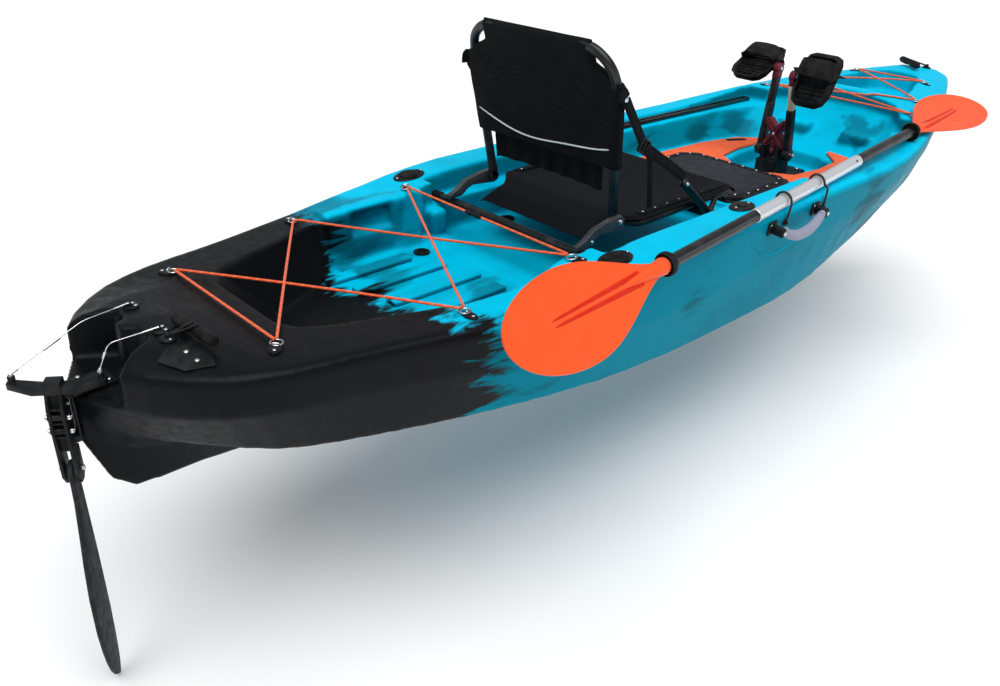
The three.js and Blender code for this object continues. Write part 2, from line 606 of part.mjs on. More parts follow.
// Flush rod holders behind the seat, and oval deck mounts beside it
const holder = { flange: [34, 24], flangeShare: 1.3, thick: 4, tube: 23, wall: 2.5, cap: 26, capThick: 3 };
const deckMountWidthShare = 0.822;
const oval = (a, b, h, sides = 16) =>
  new THREE.CylinderGeometry(1, 1, h, sides).rotateX(RIGHT_ANGLE).translate(0, 0, h * HALF).scale(b, a, 1);
function rodHolder() {
  const tubeDepth = rodTube.depth * HALF;
  const [long, wide] = holder.flange;
  return join(
    cut(upright(holder.tube, tubeDepth, 0, 0, -tubeDepth * HALF),
      upright(holder.tube - holder.wall, rodTube.depth, 0, 0, -tubeDepth - holder.wall)),
    oval(long * holder.flangeShare, wide * holder.flangeShare, holder.thick),
    upright(holder.cap, holder.capThick, 0, 0, holder.thick + holder.capThick * HALF, 14));
}
function addHolders() {
  const [long, wide] = holder.flange;
  for (const [side, s] of SIDES) {
    const seat = seatOn(s * rodTube.outShare * HALF_BEAM, along(alongShares.rodHolder), long * 1.15);
    piece(`rod_holder_${side}`, rodHolder(), MATERIAL.blackPlastic, seat);
    const mount = seatOn(s * deckMountWidthShare * HALF_BEAM, along(alongShares.deckMount), long);
    const boss = upright(wide * HALF, holder.thick, 0, 0, holder.thick);
    piece(`deck_mount_${side}`, join(oval(long, wide, holder.thick), boss), MATERIAL.blackPlastic, mount);
  }
}
addHolders();

// Foam pads glued to the foot-well floor
const foam = {
  thick: 8,
  outlineShares: [
    [0.52, 0.536], [0.645, 0.536], [0.65, 0.596], [0.605, 0.675], [0.525, 0.72], [0.33, 0.748], [0.16, 0.752],
    [0.16, 0.747], [0.325, 0.724], [0.34, 0.69], [0.3, 0.656], [0.14, 0.642], [0.14, 0.634], [0.52, 0.634],
  ],
};
function addFoam() {
  const low = levels.footFloor + GAP;
  for (const [side, s] of SIDES) {
    const outline = foam.outlineShares.map(([x, y]) => [s * x * HALF_BEAM, along(y)]);
    if (s < 0) outline.reverse();
    piece(`foam_pad_${side}`, plate(outline, low, low + foam.thick), MATERIAL.foam, kayak);
  }
}
addFoam();

// Hatch: a rim screwed to its platform and a hinged lid
const lid = { rimThick: 4, rimBorder: 12, thick: 8, barrel: 5, pin: 2.2, barrelWide: 40, barrelOut: 120 };
const lidEar = { deepShare: 1.2, highShare: 1.8, out: 150 };
function addHatch() {
  const y = along(alongShares.hatch);
  const low = levels.platform + GAP;
  const top = low + lid.rimThick;
  const bottom = top + GAP;
  const hingeY = y - hatch.halfLength - lid.barrel - GAP;
  const hingeZ = bottom + lid.barrel;
  const earHigh = lid.barrel * lidEar.highShare;
  const ears = [-1, 1].map((s) =>
    box(lid.barrel, lid.barrel * lidEar.deepShare, earHigh, s * lidEar.out, hingeY, top + earHigh * HALF));
  const pinWide = lid.barrelWide + lid.barrel * 3;
  const pinX = lid.barrelOut + lid.barrel;
  const pins = [-1, 1].map((s) => crosswise(lid.pin, pinWide, s * pinX, hingeY, hingeZ, 8));
  const { halfWidth, halfLength, chamfer } = hatch;
  const rimOutline = chamfered(halfWidth + lid.rimBorder, halfLength + lid.rimBorder, chamfer, 0, y);
  const opening = box(hatch.tubHalfWidth * 2, hatch.tubHalfLength * 2, OVERRUN, 0, y, low);
  const rim = join(cut(plate(rimOutline, low, top), opening), ears, pins);
  piece("hatch_rim", rim, MATERIAL.blackPlastic, kayak);
  const cover = plate(chamfered(halfWidth, halfLength, chamfer, 0, y), bottom, bottom + lid.thick);
  const barrels = [-1, 1].flatMap((s) => [
    cut(crosswise(lid.barrel, lid.barrelWide, s * lid.barrelOut, hingeY, hingeZ, 10),
      crosswise(lid.pin + GAP, lid.barrelWide * 2, s * lid.barrelOut, hingeY, hingeZ, 10)),
    box(lid.barrelWide, lid.barrel * 2, lid.thick * HALF, s * lid.barrelOut, hingeY + lid.barrel * 1.7,
      bottom + lid.thick * 0.75),
  ]);
  piece("hatch_lid", join(cover, barrels), MATERIAL.lid, kayak);
}
addHatch();

// Rudder. Its group turns about the pin; at rest it is steered as in a tight turn.
const radians = THREE.MathUtils.degToRad;
const rudder = {
  steerDegrees: 55, pin: 6, lugThick: 12, lugRadius: 15, lugLow: 156, plateThick: 5, aftPlate: 4,
  plateHalf: 28, plateReach: 78, knuckle: 12, cheekGap: 18, cheekThick: 5, cheekBack: -38, nose: -3,
  cheekBottom: 84, headRise: 14, webThick: 6, lip: 4, topCorner: [8, 26], bottomCorner: [12, 20],
  chinCorner: 10, topNotch: 6, boltRise: 28,
  boltRadius: 5, boltOut: 4, studOut: 2.5,
};
const bladeForm = { top: 16, chord: 74, lead: 14, depth: 378, thick: 9 };
const yoke = { reach: 80, width: 34, root: 22, sweep: 4, tip: 8, thick: 12, capHeight: 22 };
const rudderTop = levels.platform + rudder.headRise;
const bladeBoltZ = rudder.cheekBottom + rudder.boltRise;
const bladeBoltY = (rudder.nose + rudder.cheekBack) * HALF;
const pinY = along(alongShares.rudderPin);
const tailY = along(0);
const mountScrewShares = [0.3, 0.8];
function addRudderMount() {
  const { plateHalf, plateReach, plateThick, aftPlate, lugThick, lugRadius, lugLow, pin } = rudder;
  const low = levels.platform + GAP;
  const high = low + plateThick;
  const back = tailY - GAP;
  const topY = back + plateReach * HALF - aftPlate;
  const top = box(plateHalf * 2, plateReach, plateThick, 0, topY, low + plateThick * HALF);
  const aft = box(plateHalf, aftPlate, high - lugLow, 0, back - aftPlate * HALF, (high + lugLow) * HALF);
  const lug = (z) => join(
    upright(lugRadius, lugThick, 0, pinY, z, 14),
    box(lugRadius * 2, back - pinY, lugThick, 0, (back + pinY) * HALF, z));
  const highLug = high - lugThick * HALF;
  const screws = mountScrewShares.flatMap((t) => [-1, 1].map((s) =>
    upright(pin * 0.7, plateThick, s * plateHalf * 0.72, back + plateReach * t, high, 8)));
  const post = upright(pin, highLug - lugLow, 0, pinY, (highLug + lugLow) * HALF, 14);
  const mount = join(top, aft, lug(highLug), lug(lugLow + lugThick * HALF), screws, post);
  piece("rudder_mount", mount, MATERIAL.blackPlastic, kayak);
}
addRudderMount();

const rudderGroup = new THREE.Group();
rudderGroup.position.set(0, pinY, 0);
rudderGroup.rotation.z = radians(rudder.steerDegrees);
kayak.add(rudderGroup);

// One side plate of the head, as [y, z] points with a notch for each lug of the mount.
function cheekOutline(front, lowZ, highZ) {
  const { cheekBack: back, nose, cheekBottom: bottom, lugLow, lip } = rudder;
  const { topCorner, bottomCorner, chinCorner, topNotch } = rudder;
  const top = rudderTop - GAP;
  return [
    [nose, bottom + chinCorner], [nose, lugLow - lip], [front, lugLow - lip], [front, lowZ], [nose, lowZ],
    [nose, highZ], [front, highZ], [front, rudderTop - topNotch], [nose, rudderTop - topNotch], [nose, top],
    [back + topCorner[0], top], [back, rudderTop - topCorner[1]], [back, bottom + bottomCorner[1]],
    [back + bottomCorner[0], bottom], [nose - chinCorner, bottom],
  ];
}
function addRudderHead() {
  const { cheekGap, cheekThick, cheekBack, webThick, lip, knuckle, pin } = rudder;
  const { lugLow, lugThick, lugRadius } = rudder;
  const lowZ = lugLow + lugThick + GAP * 2;
  const highZ = levels.platform + rudder.plateThick - lugThick - GAP;
  const outer = cheekGap * HALF + cheekThick;
  const front = -lugRadius - GAP * 4;
  const form = cheekOutline(front, lowZ, highZ);
  const cheeks = [sidePlate(form, -outer, cheekThick - outer), sidePlate(form, outer - cheekThick, outer)];
  const across = cheekGap + lip * HALF;
  const [webLow, webHigh] = [lugLow - lip * 2, rudderTop - GAP];
  const web = box(across, webThick, webHigh - webLow, 0, front - webThick * HALF, (webHigh + webLow) * HALF);
  const level = (t) => lugLow + (rudderTop - lugLow) * t;
  const deep = front - cheekBack;
  const ribs = [0.25, 0.5, 0.75].map((t) =>
    box(across, deep * 0.8, webThick * HALF, 0, front - deep * 0.4, level(t)));
  const neck = box(knuckle, lugRadius + lip, highZ - lowZ, 0, front * HALF, (highZ + lowZ) * HALF);
  const tube = upright(knuckle, highZ - lowZ, 0, 0, (highZ + lowZ) * HALF, 14);
  const bore = upright(pin + GAP, highZ - lowZ + lip, 0, 0, (highZ + lowZ) * HALF, 14);
  const bolt = crosswise(rudder.boltRadius, (outer + rudder.boltOut) * 2, 0, bladeBoltY, bladeBoltZ, 10);
  const studY = (front + cheekBack - lip) * HALF;
  const studs = [0.35, 0.6].map((t) => crosswise(pin, (outer + rudder.studOut) * 2, 0, studY, level(t), 8));
  const head = join(cut(join(cheeks, web, ribs, neck, tube), bore), bolt, studs);
  piece("rudder_head", head, MATERIAL.blackPlastic, rudderGroup);
}
function addYoke() {
  const { nose, cheekBack, cheekGap, cheekThick, lip } = rudder;
  const { reach, width, root, sweep, tip, thick, capHeight } = yoke;
  const arms = [
    [-reach, sweep - tip], [-width, root * -1.3], [width, root * -1.3], [reach, sweep - tip],
    [reach, sweep + tip], [root, nose + lip * HALF], [-root, nose + lip * HALF], [-reach, sweep + tip],
  ];
  const back = cheekBack + lip * 2;
  const capZ = rudderTop + capHeight * HALF;
  const cap = box(cheekGap + cheekThick * 2, nose - back, capHeight, 0, (nose + back) * HALF, capZ);
  const horns = [-1, 1].map((s) =>
    upright(tip * 0.8, thick * 1.8, s * (reach - tip), sweep, rudderTop + thick * 0.9, 10));
  const whole = join(plate(arms, rudderTop, rudderTop + thick), cap, horns);
  piece("rudder_yoke", whole, MATERIAL.blackPlastic, rudderGroup);
}
function addRudderBlade() {
  const [y, z] = [bladeBoltY, bladeBoltZ];
  const { top, chord, lead, depth, thick } = bladeForm;
  const blade = new THREE.Shape();
  blade.moveTo(y + top, z);
  blade.absarc(y, z, top, 0, Math.PI, false);
  blade.bezierCurveTo(y - top, 0, y - chord * 0.9, -depth * 0.2, y - chord * 0.85, -depth * 0.6);
  blade.quadraticCurveTo(y - chord * 0.75, -depth * 0.95, y - chord * 0.2, -depth);
  blade.quadraticCurveTo(y + lead * 0.3, -depth * 0.98, y + lead, -depth * 0.6);
  blade.bezierCurveTo(y + lead * 1.4, -depth * 0.2, y + top, 0, y + top, z);
  const points = blade.getPoints(5).map((p) => [p.x, p.y]);
  const hole = crosswise(rudder.boltRadius + GAP, OVERRUN, 0, y, z);
  piece("rudder_blade", cut(sidePlate(points, -thick * HALF, thick * HALF), hole), MATERIAL.lid, rudderGroup);
}
addRudderHead();
addYoke();
addRudderBlade();

// Steering cables: a deck outlet with a screw, then a steel wire down the notch to the yoke's end
const cable = { wire: 1.3, footRadius: 14, foot: 4, screw: 5, outShare: 0.145, endGap: 4 };
function addCables() {
  rudderGroup.updateMatrixWorld(true);
  const { wire, footRadius, foot, screw } = cable;
  for (const [side, s] of SIDES) {
    const x = s * cable.outShare * HALF_BEAM;
    const seat = seatOn(x, along(alongShares.cableOutlet) + footRadius, footRadius * 1.1);
    const outlet = [
      upright(footRadius, foot, 0, 0, foot * HALF),
      box(footRadius * HALF, footRadius, foot * 2.2, 0, -footRadius * HALF, foot * 1.1),
      upright(screw, foot, screw, screw, foot, 8),
    ].map((geometry) => geometry.applyMatrix4(seat.matrixWorld));
    const start = vec(0, -footRadius * HALF, foot * 1.9).applyMatrix4(seat.matrixWorld);
    const end = vec(s * (yoke.reach - yoke.tip), yoke.sweep, rudderTop + yoke.thick * 1.8 + cable.endGap)
      .applyMatrix4(rudderGroup.matrixWorld);
    const edge = vec(x * 0.9, along(alongShares.platform) - footRadius * 1.5, start.z - foot);
    const ferrule = rod(start, start.clone().lerp(edge, 0.3), wire * 2.2, 8);
    const line = sweep([start, edge, end], wire, 6);
    piece(`steering_cable_${side}`, join(outlet, ferrule, line), MATERIAL.steel, kayak);
  }
}
addCables();

// Chair: two crossbars on the hull's ledges, a pan frame, two castings, a hinged back and two straps.
// Its places run forward from the rear bar, and its heights rise from the ledges.
const chair = {
  halfWidth: 218, tube: 12, barHalf: 290, frontBar: 440, panRear: 164, panFront: 540, panRise: 43,
  panSlope: 6, outrigger: 25, anchorBack: 118, anchorRise: 114, strutBack: 30, strutDrop: 2, braceBack: 40,
  crossFore: 20, hingeFore: 121, hingeRise: 61, hingePin: 5, lug: 13, lugThick: 16, postHalf: 203,
  casting: 14, braceShare: 0.26,
};
const chairY = along(alongShares.rearBar);
const chairZ = (rise) => levels.ledge + rise;
const hingeY = chairY + chair.hingeFore;
const hingeZ = chairZ(chair.hingeRise);
const barZ = levels.ledge + chair.tube + GAP;
const frameTube = chair.tube * 0.8;
const strut = chair.tube * 0.6;
const anchorY = chairY + chair.frontBar - chair.anchorBack;
const anchorOf = (s) => vec(s * (chair.halfWidth + chair.outrigger), anchorY, chairZ(chair.anchorRise));
function addChairBase() {
  const crossbar = (y) => crosswise(chair.tube, chair.barHalf * 2, 0, chairY + y, barZ);
  piece("seat_rear_bar", crossbar(0), MATERIAL.tube, kayak);
  const [rear, front] = [chairY + chair.panRear, chairY + chair.panFront];
  const panZ = chairZ(chair.panRise);
  const rearZ = panZ - chair.panSlope;
  const side = (s) => {
    const x = s * chair.halfWidth;
    const anchor = anchorOf(s);
    const foot = vec(anchor.x, chairY + chair.frontBar, barZ);
    const braceY = foot.y - chair.strutBack;
    return [
      rod(vec(x, rear, rearZ), vec(x, front, panZ), frameTube, 8),
      rod(anchor, foot, frameTube, 8),
      rod(vec(x, braceY, panZ - chair.strutDrop),
        vec(anchor.x, braceY, THREE.MathUtils.lerp(foot.z, anchor.z, chair.braceShare)), strut, 8),
      rod(vec(x, front - chair.braceBack, panZ), foot, strut, 8),
    ];
  };
  const cross = (y, z) => crosswise(frameTube, chair.halfWidth * 2, 0, y, z, 8);
  const rearCross = cross(rear + chair.crossFore, rearZ);
  const base = join(side(-1), side(1), rearCross, cross(front, panZ), crossbar(chair.frontBar));
  piece("seat_base", base, MATERIAL.tube, kayak);
}

// A casting's outline: shares of the way from the rear bar to the hinge, along and up.
const castingShares = [
  [-0.132, 0], [0.116, 0], [0.215, 0.055], [0.364, 0.44], [0.512, 0.6], [1.116, 0.384], [1.132, 1.11],
  [1.05, 1.384], [0.8, 1.33], [0.33, 1.055], [0.066, 0.493], [-0.132, 0.274],
];
function addCastings() {
  const barTop = barZ + chair.tube + GAP;
  const inner = chair.postHalf + chair.lugThick * HALF + GAP;
  const outer = inner + chair.casting;
  const form = castingShares.map(([y, z]) =>
    [THREE.MathUtils.lerp(chairY, hingeY, y), THREE.MathUtils.lerp(barTop, hingeZ, z)]);
  for (const [side, s] of SIDES) {
    const plateBetween = s < 0 ? sidePlate(form, -outer, -inner) : sidePlate(form, inner, outer);
    const pinX = s * (inner + (chair.casting - chair.lugThick) * HALF);
    const pin = crosswise(chair.hingePin, chair.lugThick + chair.casting, pinX, hingeY, hingeZ, 10);
    piece(`seat_casting_${side}`, join(plateBetween, pin), MATERIAL.casting, kayak);
  }
}
addChairBase();
addCastings();

// The hinged back: a bent tube on two lugs, with a cloth hung behind it
const backForm = {
  topHalf: 226, bendRise: 368, topRise: 445, leanBend: -44, leanTop: -68, footLean: -1, shoulderIn: 12,
  shoulderBack: 14, shoulderRise: 45, cornerIn: 55, stud: 4, studOut: 4, studFore: 3, studDrop: 22,
};
const backCloth = {
  thick: 4, lowRise: 193, lowLeanShare: 0.43, edge: 4, over: 8, overBack: 1, notchHalf: 28, notchHigh: 96,
};
const bendZ = chairZ(backForm.bendRise);
const topZ = chairZ(backForm.topRise);
const seatBack = new THREE.Group();
kayak.add(seatBack);
function postLine(s) {
  const { topHalf, leanBend, leanTop, footLean, shoulderIn, shoulderBack, shoulderRise, cornerIn } = backForm;
  return [
    vec(s * chair.postHalf, hingeY + footLean, hingeZ + chair.lug * 1.4),
    vec(s * topHalf, hingeY + leanBend, bendZ),
    vec(s * (topHalf - shoulderIn), hingeY + leanBend - shoulderBack, bendZ + shoulderRise),
    vec(s * (topHalf - cornerIn), hingeY + leanTop, topZ),
  ];
}
function addBackFrame() {
  const { lug, lugThick, postHalf } = chair;
  const tube = sweep([...postLine(-1), ...postLine(1).reverse()], chair.tube * 0.92, 10);
  const lugs = [-1, 1].map((s) => join(
    crosswise(lug, lugThick, s * postHalf, hingeY, hingeZ, 14),
    box(lugThick, lug * 1.6, lug * 2, s * postHalf, hingeY + backForm.footLean, hingeZ + lug)));
  const bores = [-1, 1].map((s) => crosswise(chair.hingePin + GAP, OVERRUN, s * postHalf, hingeY, hingeZ));
  const [studY, studZ] = [hingeY + backForm.leanBend + backForm.studFore, bendZ - backForm.studDrop];
  const studs = [-1, 1].map((s) =>
    crosswise(backForm.stud, chair.tube * 2.73, s * (backForm.topHalf + backForm.studOut), studY, studZ, 8));
  piece("seat_back_frame", join(cut(join(tube, lugs), bores), studs), MATERIAL.tube, seatBack);
}
function addBackCloth() {
  const { leanBend, leanTop, shoulderBack, shoulderRise, topHalf } = backForm;
  const { thick, edge, over, overBack } = backCloth;
  const clear = chair.tube * 0.92 * 1.07 + GAP * 2;
  const line = [
    [leanBend * backCloth.lowLeanShare, chairZ(backCloth.lowRise)], [leanBend, bendZ],
    [leanBend - shoulderBack, bendZ + shoulderRise], [leanTop, topZ], [leanTop - overBack, topZ + over],
  ].map(([y, z]) => [hingeY + y - clear, z]);
  const sheet = [...line, ...[...line].reverse().map(([y, z]) => [y - thick, z])];
  const half = topHalf - edge;
  const notches = [-1, 1].map((s) =>
    box(backCloth.notchHalf * 2, OVERRUN * 2, backCloth.notchHigh, s * half, hingeY + leanTop, topZ));
  piece("seat_back_fabric", cut(sidePlate(sheet, -half, half), notches), MATERIAL.fabric, seatBack);
}
addBackFrame();
addBackCloth();

// The pan's cloth, from behind the back over the frame and down in front of it
const pan = {
  rearHalf: 180, frontHalf: 230, thick: 5, tail: 58, tailDrop: 34, bend: 104, bendDrop: 16, nose: 12,
  noseRise: 1, lip: 22, lipDrop: 12,
};
function addPan() {
  const z = chairZ(chair.panRise) + chair.tube * 0.76 + GAP;
  const [rear, front] = [chairY + chair.panRear, chairY + chair.panFront];
  const under = [[chairY + pan.tail, z - pan.tailDrop], [chairY + pan.bend, z - pan.bendDrop], [rear, z],
    [front + pan.nose, z + pan.noseRise]];
  const lip = [[front + pan.lip, z - pan.lipDrop], [front + pan.lip + pan.thick, z - pan.lipDrop]];
  const over = under.map(([y, height]) => [y, height + pan.thick]).reverse();
  const [step, middle] = [(pan.frontHalf - pan.rearHalf) * 2, (rear + chairY) * HALF];
  const corners = [-1, 1].map((s) =>
    box(step, rear - chairY, OVERRUN * 2, s * pan.frontHalf, middle, z));
  const cloth = cut(sidePlate([...under, ...lip, ...over], -pan.frontHalf, pan.frontHalf), corners);
  piece("seat_pan", cloth, MATERIAL.fabric, kayak);
}
addPan();

// Straps from the back frame down to the pan frame, each with a buckle and a loose tail
const strap = {
  wide: 25, thick: 2.4, clear: 10, buckleFore: 154, buckleRise: 234, buckleLong: 34, buckleHigh: 24,
  lowBack: 8, lowRise: 18, tailOut: 4, tailFore: 188, tailRise: 88, tailShare: 0.8,
};
function addStraps() {
  const { wide, thick } = strap;
  for (const [side, s] of SIDES) {
    const x = s * (backForm.topHalf + chair.tube + strap.clear);
    const outX = x + s * strap.tailOut;
    const high = vec(x, hingeY + backForm.leanBend + backForm.studFore, bendZ - backForm.studDrop);
    const buckle = vec(x, chairY + strap.buckleFore, chairZ(strap.buckleRise));
    const anchor = anchorOf(s);
    const low = vec(x, anchor.y - strap.lowBack, anchor.z + strap.lowRise);
    const tail = vec(outX, chairY + strap.tailFore, chairZ(strap.tailRise));
    piece(`seat_strap_${side}`, join(
      webbing(high, buckle, wide, thick),
      webbing(buckle, low, wide, thick),
      box(thick * 4, strap.buckleLong, strap.buckleHigh, x, buckle.y, buckle.z),
      webbing(vec(outX, buckle.y, buckle.z), tail, wide * strap.tailShare, thick)), MATERIAL.fabric, kayak);
  }
}
addStraps();

// Pedal drive. Two arms rock on one axle and the fins below follow them. Heights rise from the drive bowl.
const drive = {
  plate: [100, 240, 8], spine: [36, 220], pedestal: [60, 90], pedestalRise: 60, axleRise: 80, frameRise: 180,
  axle: 7, axleHalf: 66, hub: 20, bolt: 7, shaft: 5, shaftZ: -26, lugThick: 10, lugHigh: 12, lugRadius: 11,
  lap: 2, reach: 110, frameThick: 24, crotchLow: 22, crotchHigh: 20, toe: 14, tip: 16, bridgeDrop: 10,
};
const crank = {
  x: 47, section: [20, 28], reach: 240, leanDegrees: 7.5, cap: 17, pin: 6, near: 62, far: 176, washer: 4,
  washerIn: 3,
};
const driveY = along(alongShares.drive);
const axleZ = levels.driveBowl + drive.axleRise;
const pedestalTop = levels.driveBowl + drive.pedestalRise;
const lowest = -drive.lugHigh * HALF;
function finLugs() {
  const { lugRadius, lugThick, shaftZ, lap } = drive;
  return [-1, 0, 1].map((t) => {
    const y = driveY + t * (drive.reach + lugThick * HALF);
    const high = lowest + lap;
    return join(lengthwise(lugRadius, lugThick, 0, y, shaftZ),
      box(lugRadius * 2, lugThick, high - shaftZ, 0, y, (high + shaftZ) * HALF));
  });
}
function addDriveBase() {
  const { plate: [w, d, h], spine: [spineWide, spineLong], lugRadius, lugThick, lugHigh } = drive;
  const floor = levels.driveBowl + GAP;
  const top = floor + h;
  const bolts = [-1, 1].flatMap((i) => [-1, 1].map((j) =>
    upright(drive.bolt, h, i * w * 0.34, driveY + j * d * 0.4, top, 8)));
  const earTop = axleZ + drive.hub * 0.6;
  const ears = [-1, 1].map((s) => box(drive.frameThick * HALF, drive.pedestal[1] * 0.6, earTop - pedestalTop,
    s * drive.frameThick, driveY, (earTop + pedestalTop) * HALF));
  piece("drive_base", join(
    box(w, d, h, 0, driveY, floor + h * HALF),
    box(spineWide, spineLong, top - lowest, 0, driveY, (top + lowest) * HALF),
    box(lugRadius * 2, spineLong + lugThick * 2, lugHigh, 0, driveY, lowest),
    box(...drive.pedestal, pedestalTop - top, 0, driveY, (pedestalTop + top) * HALF),
    finLugs(), bolts, ears,
    lengthwise(drive.shaft, (drive.reach + lugThick) * 2, 0, driveY, drive.shaftZ, 10),
    crosswise(drive.axle, drive.axleHalf * 2, 0, driveY, axleZ)), MATERIAL.blackPlastic, kayak);
}
function addDriveFrame() {
  const { frameThick, hub, crotchLow, crotchHigh, toe, tip, bridgeDrop } = drive;
  const half = crank.x - crank.section[0] * HALF - GAP * 2;
  const low = axleZ + hub * 0.6 + GAP * 4;
  const high = levels.driveBowl + drive.frameRise;
  const mid = (low + high) * HALF;
  const right = [
    [half * 0.55, low], [half, low], [half, low + toe], [half * 0.45, mid], [half, high - tip],
    [half, high], [half * 0.6, high],
  ];
  const left = right.map(([x, z]) => [-x, z]).reverse();
  const outline = [[0, mid - crotchLow], ...right, [0, mid + crotchHigh], ...left];
  const cross = plate(outline, 0, frameThick).rotateX(RIGHT_ANGLE)
    .translate(0, driveY + frameThick * HALF, 0);
  const collar = crosswise(hub * 0.8, frameThick * HALF, 0, driveY, axleZ, 14);
  const bridgeTop = mid - bridgeDrop;
  const bridge = box(frameThick * HALF, frameThick, bridgeTop - axleZ, 0, driveY, (bridgeTop + axleZ) * HALF);
  const bore = crosswise(drive.axle + GAP, OVERRUN, 0, driveY, axleZ);
  piece("drive_frame", cut(join(cross, collar, bridge), bore), MATERIAL.burgundy, kayak);
}
addDriveBase();
addDriveFrame();

const pedal = {
  base: 8, reach: 150, low: -6, rimHigh: 16, boss: 13, sideGap: 4, inset: 1, tread: 7, treadHigh: 3,
  treadLift: 1,
  strapHigh: 44, strapWide: 48, strapThick: 4, strapSide: 26, strapCrown: 5, strapPlaceShare: 0.3,
  tiltDegrees: { port: 26, starboard: 60 },
};
const pedalWide = crank.far - crank.near - pedal.sideGap;
function addArms() {
  const [w, d] = crank.section;
  for (const [side, s] of SIDES) {
    const armGroup = new THREE.Group();
    armGroup.position.set(0, driveY, axleZ);
    armGroup.rotation.x = radians(crank.leanDegrees) * s;
    kayak.add(armGroup);
    const x = s * crank.x;
    const hub = crosswise(drive.hub, w, x, 0, 0, 16);
    const bar = box(w, d, crank.reach, x, 0, crank.reach * HALF);
    const bore = crosswise(drive.axle + GAP, OVERRUN * 2, s * (crank.x - w * HALF), 0, 0, 14);
    const pinWide = crank.far - crank.near + w;
    const pin = crosswise(crank.pin, pinWide, s * (crank.far - pinWide * HALF), 0, crank.reach);
    const washerX = s * (crank.near - crank.washerIn);
    const washer = crosswise(crank.pin * 1.8, crank.washer, washerX, 0, crank.reach);
    const cap = crosswise(crank.cap, w, x, 0, crank.reach, 14);
    piece(`pedal_arm_${side}`, join(cut(join(hub, bar), bore), cap, washer, pin), MATERIAL.tube, armGroup);
    const tray = new THREE.Group();
    tray.position.set(0, 0, crank.reach);
    tray.rotation.x = radians(pedal.tiltDegrees[side] - crank.leanDegrees * s);
    armGroup.add(tray);
    const trayX = s * (crank.near + pedalWide * HALF + pedal.inset);
    piece(`pedal_${side}`, pedalTray(trayX), MATERIAL.blackPlastic, tray);
  }
}

// The arched toe strap of a pedal, standing on the tray.
function toeStrap(x, seat, half) {
  const { strapThick, strapWide, strapSide, strapCrown } = pedal;
  const high = seat + pedal.strapHigh;
  const outer = (pedalWide + strapThick) * HALF;
  const arch = [
    [-outer, seat], [-outer, high - strapSide], [-outer * 0.72, high - strapCrown], [0, high],
    [outer * 0.72, high - strapCrown], [outer, high - strapSide], [outer, seat],
  ];
  const last = arch.length - 1;
  const within = arch.map(([i, z], k) => [i * (1 - strapThick / outer), k % last ? z - strapThick : z])
    .reverse();
  return plate([...arch, ...within].reverse(), 0, strapWide).rotateX(RIGHT_ANGLE)
    .translate(x, half * pedal.strapPlaceShare + strapWide * HALF, 0);
}

// One pedal tray with raised rims, treads, its toe strap and a bored boss below.
const trayShares = [
  [0.5, -0.55], [0.5, 0.7], [0.36, 1], [-0.36, 1], [-0.5, 0.7], [-0.5, -0.55], [-0.36, -1], [0.36, -1],
];
const treadShares = [-0.75, -0.45, -0.15, 0.15, 0.45, 0.75];
function pedalTray(x) {
  const { low, base, boss, rimHigh, tread, treadHigh, treadLift } = pedal;
  const seat = low + base;
  const half = pedal.reach * HALF;
  const outline = (across, length) =>
    trayShares.map(([i, j]) => [x + i * pedalWide * across, j * half * length]);
  const inside = plate(outline(0.89, 0.94), seat, seat + rimHigh * 2);
  const tray = cut(plate(outline(1, 1), low, seat + rimHigh), inside);
  const treads = treadShares.map((t) =>
    box(pedalWide * 0.7, tread, treadHigh, x, t * half, seat + treadLift));
  const hub = crosswise(boss, pedalWide * 0.9, x, 0, 0, 14);
  const rib = box(pedalWide * 0.8, boss * 2, base - low, x, 0, low);
  const bore = crosswise(crank.pin + GAP, pedalWide * 2, x, 0, 0, 14);
  return cut(join(tray, treads, toeStrap(x, seat, half), hub, rib), bore);
}
addArms();

const fin = { hub: 11, gap: 2, chord: 96, root: 40, depth: 188, thick: 9, flapDegrees: 16.5 };
const finShares = [
  [0.92, 0.25], [1, 0.5], [0.8, 0.8], [0.3, 1], [-0.2, 1], [-0.75, 0.7], [-1, 0.4], [-0.9, 0.2],
];
function addFins() {
  const { hub, depth, root, thick } = fin;
  const c = fin.chord * HALF;
  for (const [end, t] of [["fore", 1], ["aft", -1]]) {
    const group = new THREE.Group();
    group.position.set(0, driveY + t * drive.reach * HALF, drive.shaftZ);
    group.rotation.y = radians(fin.flapDegrees) * t;
    kayak.add(group);
    const tubeLong = drive.reach - drive.lugThick * HALF - fin.gap * 2;
    const y = t * drive.lugThick * 0.25;
    const form = [
      [y + root, -hub * HALF], ...finShares.map(([i, k]) => [y + c * i, -depth * k]), [y - root, -hub * HALF],
    ];
    const tip = vec(0, y + c * 0.5, -depth * 0.85);
    const mast = rod(vec(0, y + root * HALF, 0), tip, hub * 0.7, 8, hub * 0.45);
    const foil = sidePlate(form, -thick * HALF, thick * HALF);
    const body = join(lengthwise(hub, tubeLong, 0, y, 0, 14), foil, mast);
    const bore = lengthwise(drive.shaft + GAP, tubeLong * 2, 0, y, 0);
    piece(`fin_${end}`, cut(body, bore), MATERIAL.blackPlastic, group);
  }
}
addFins();

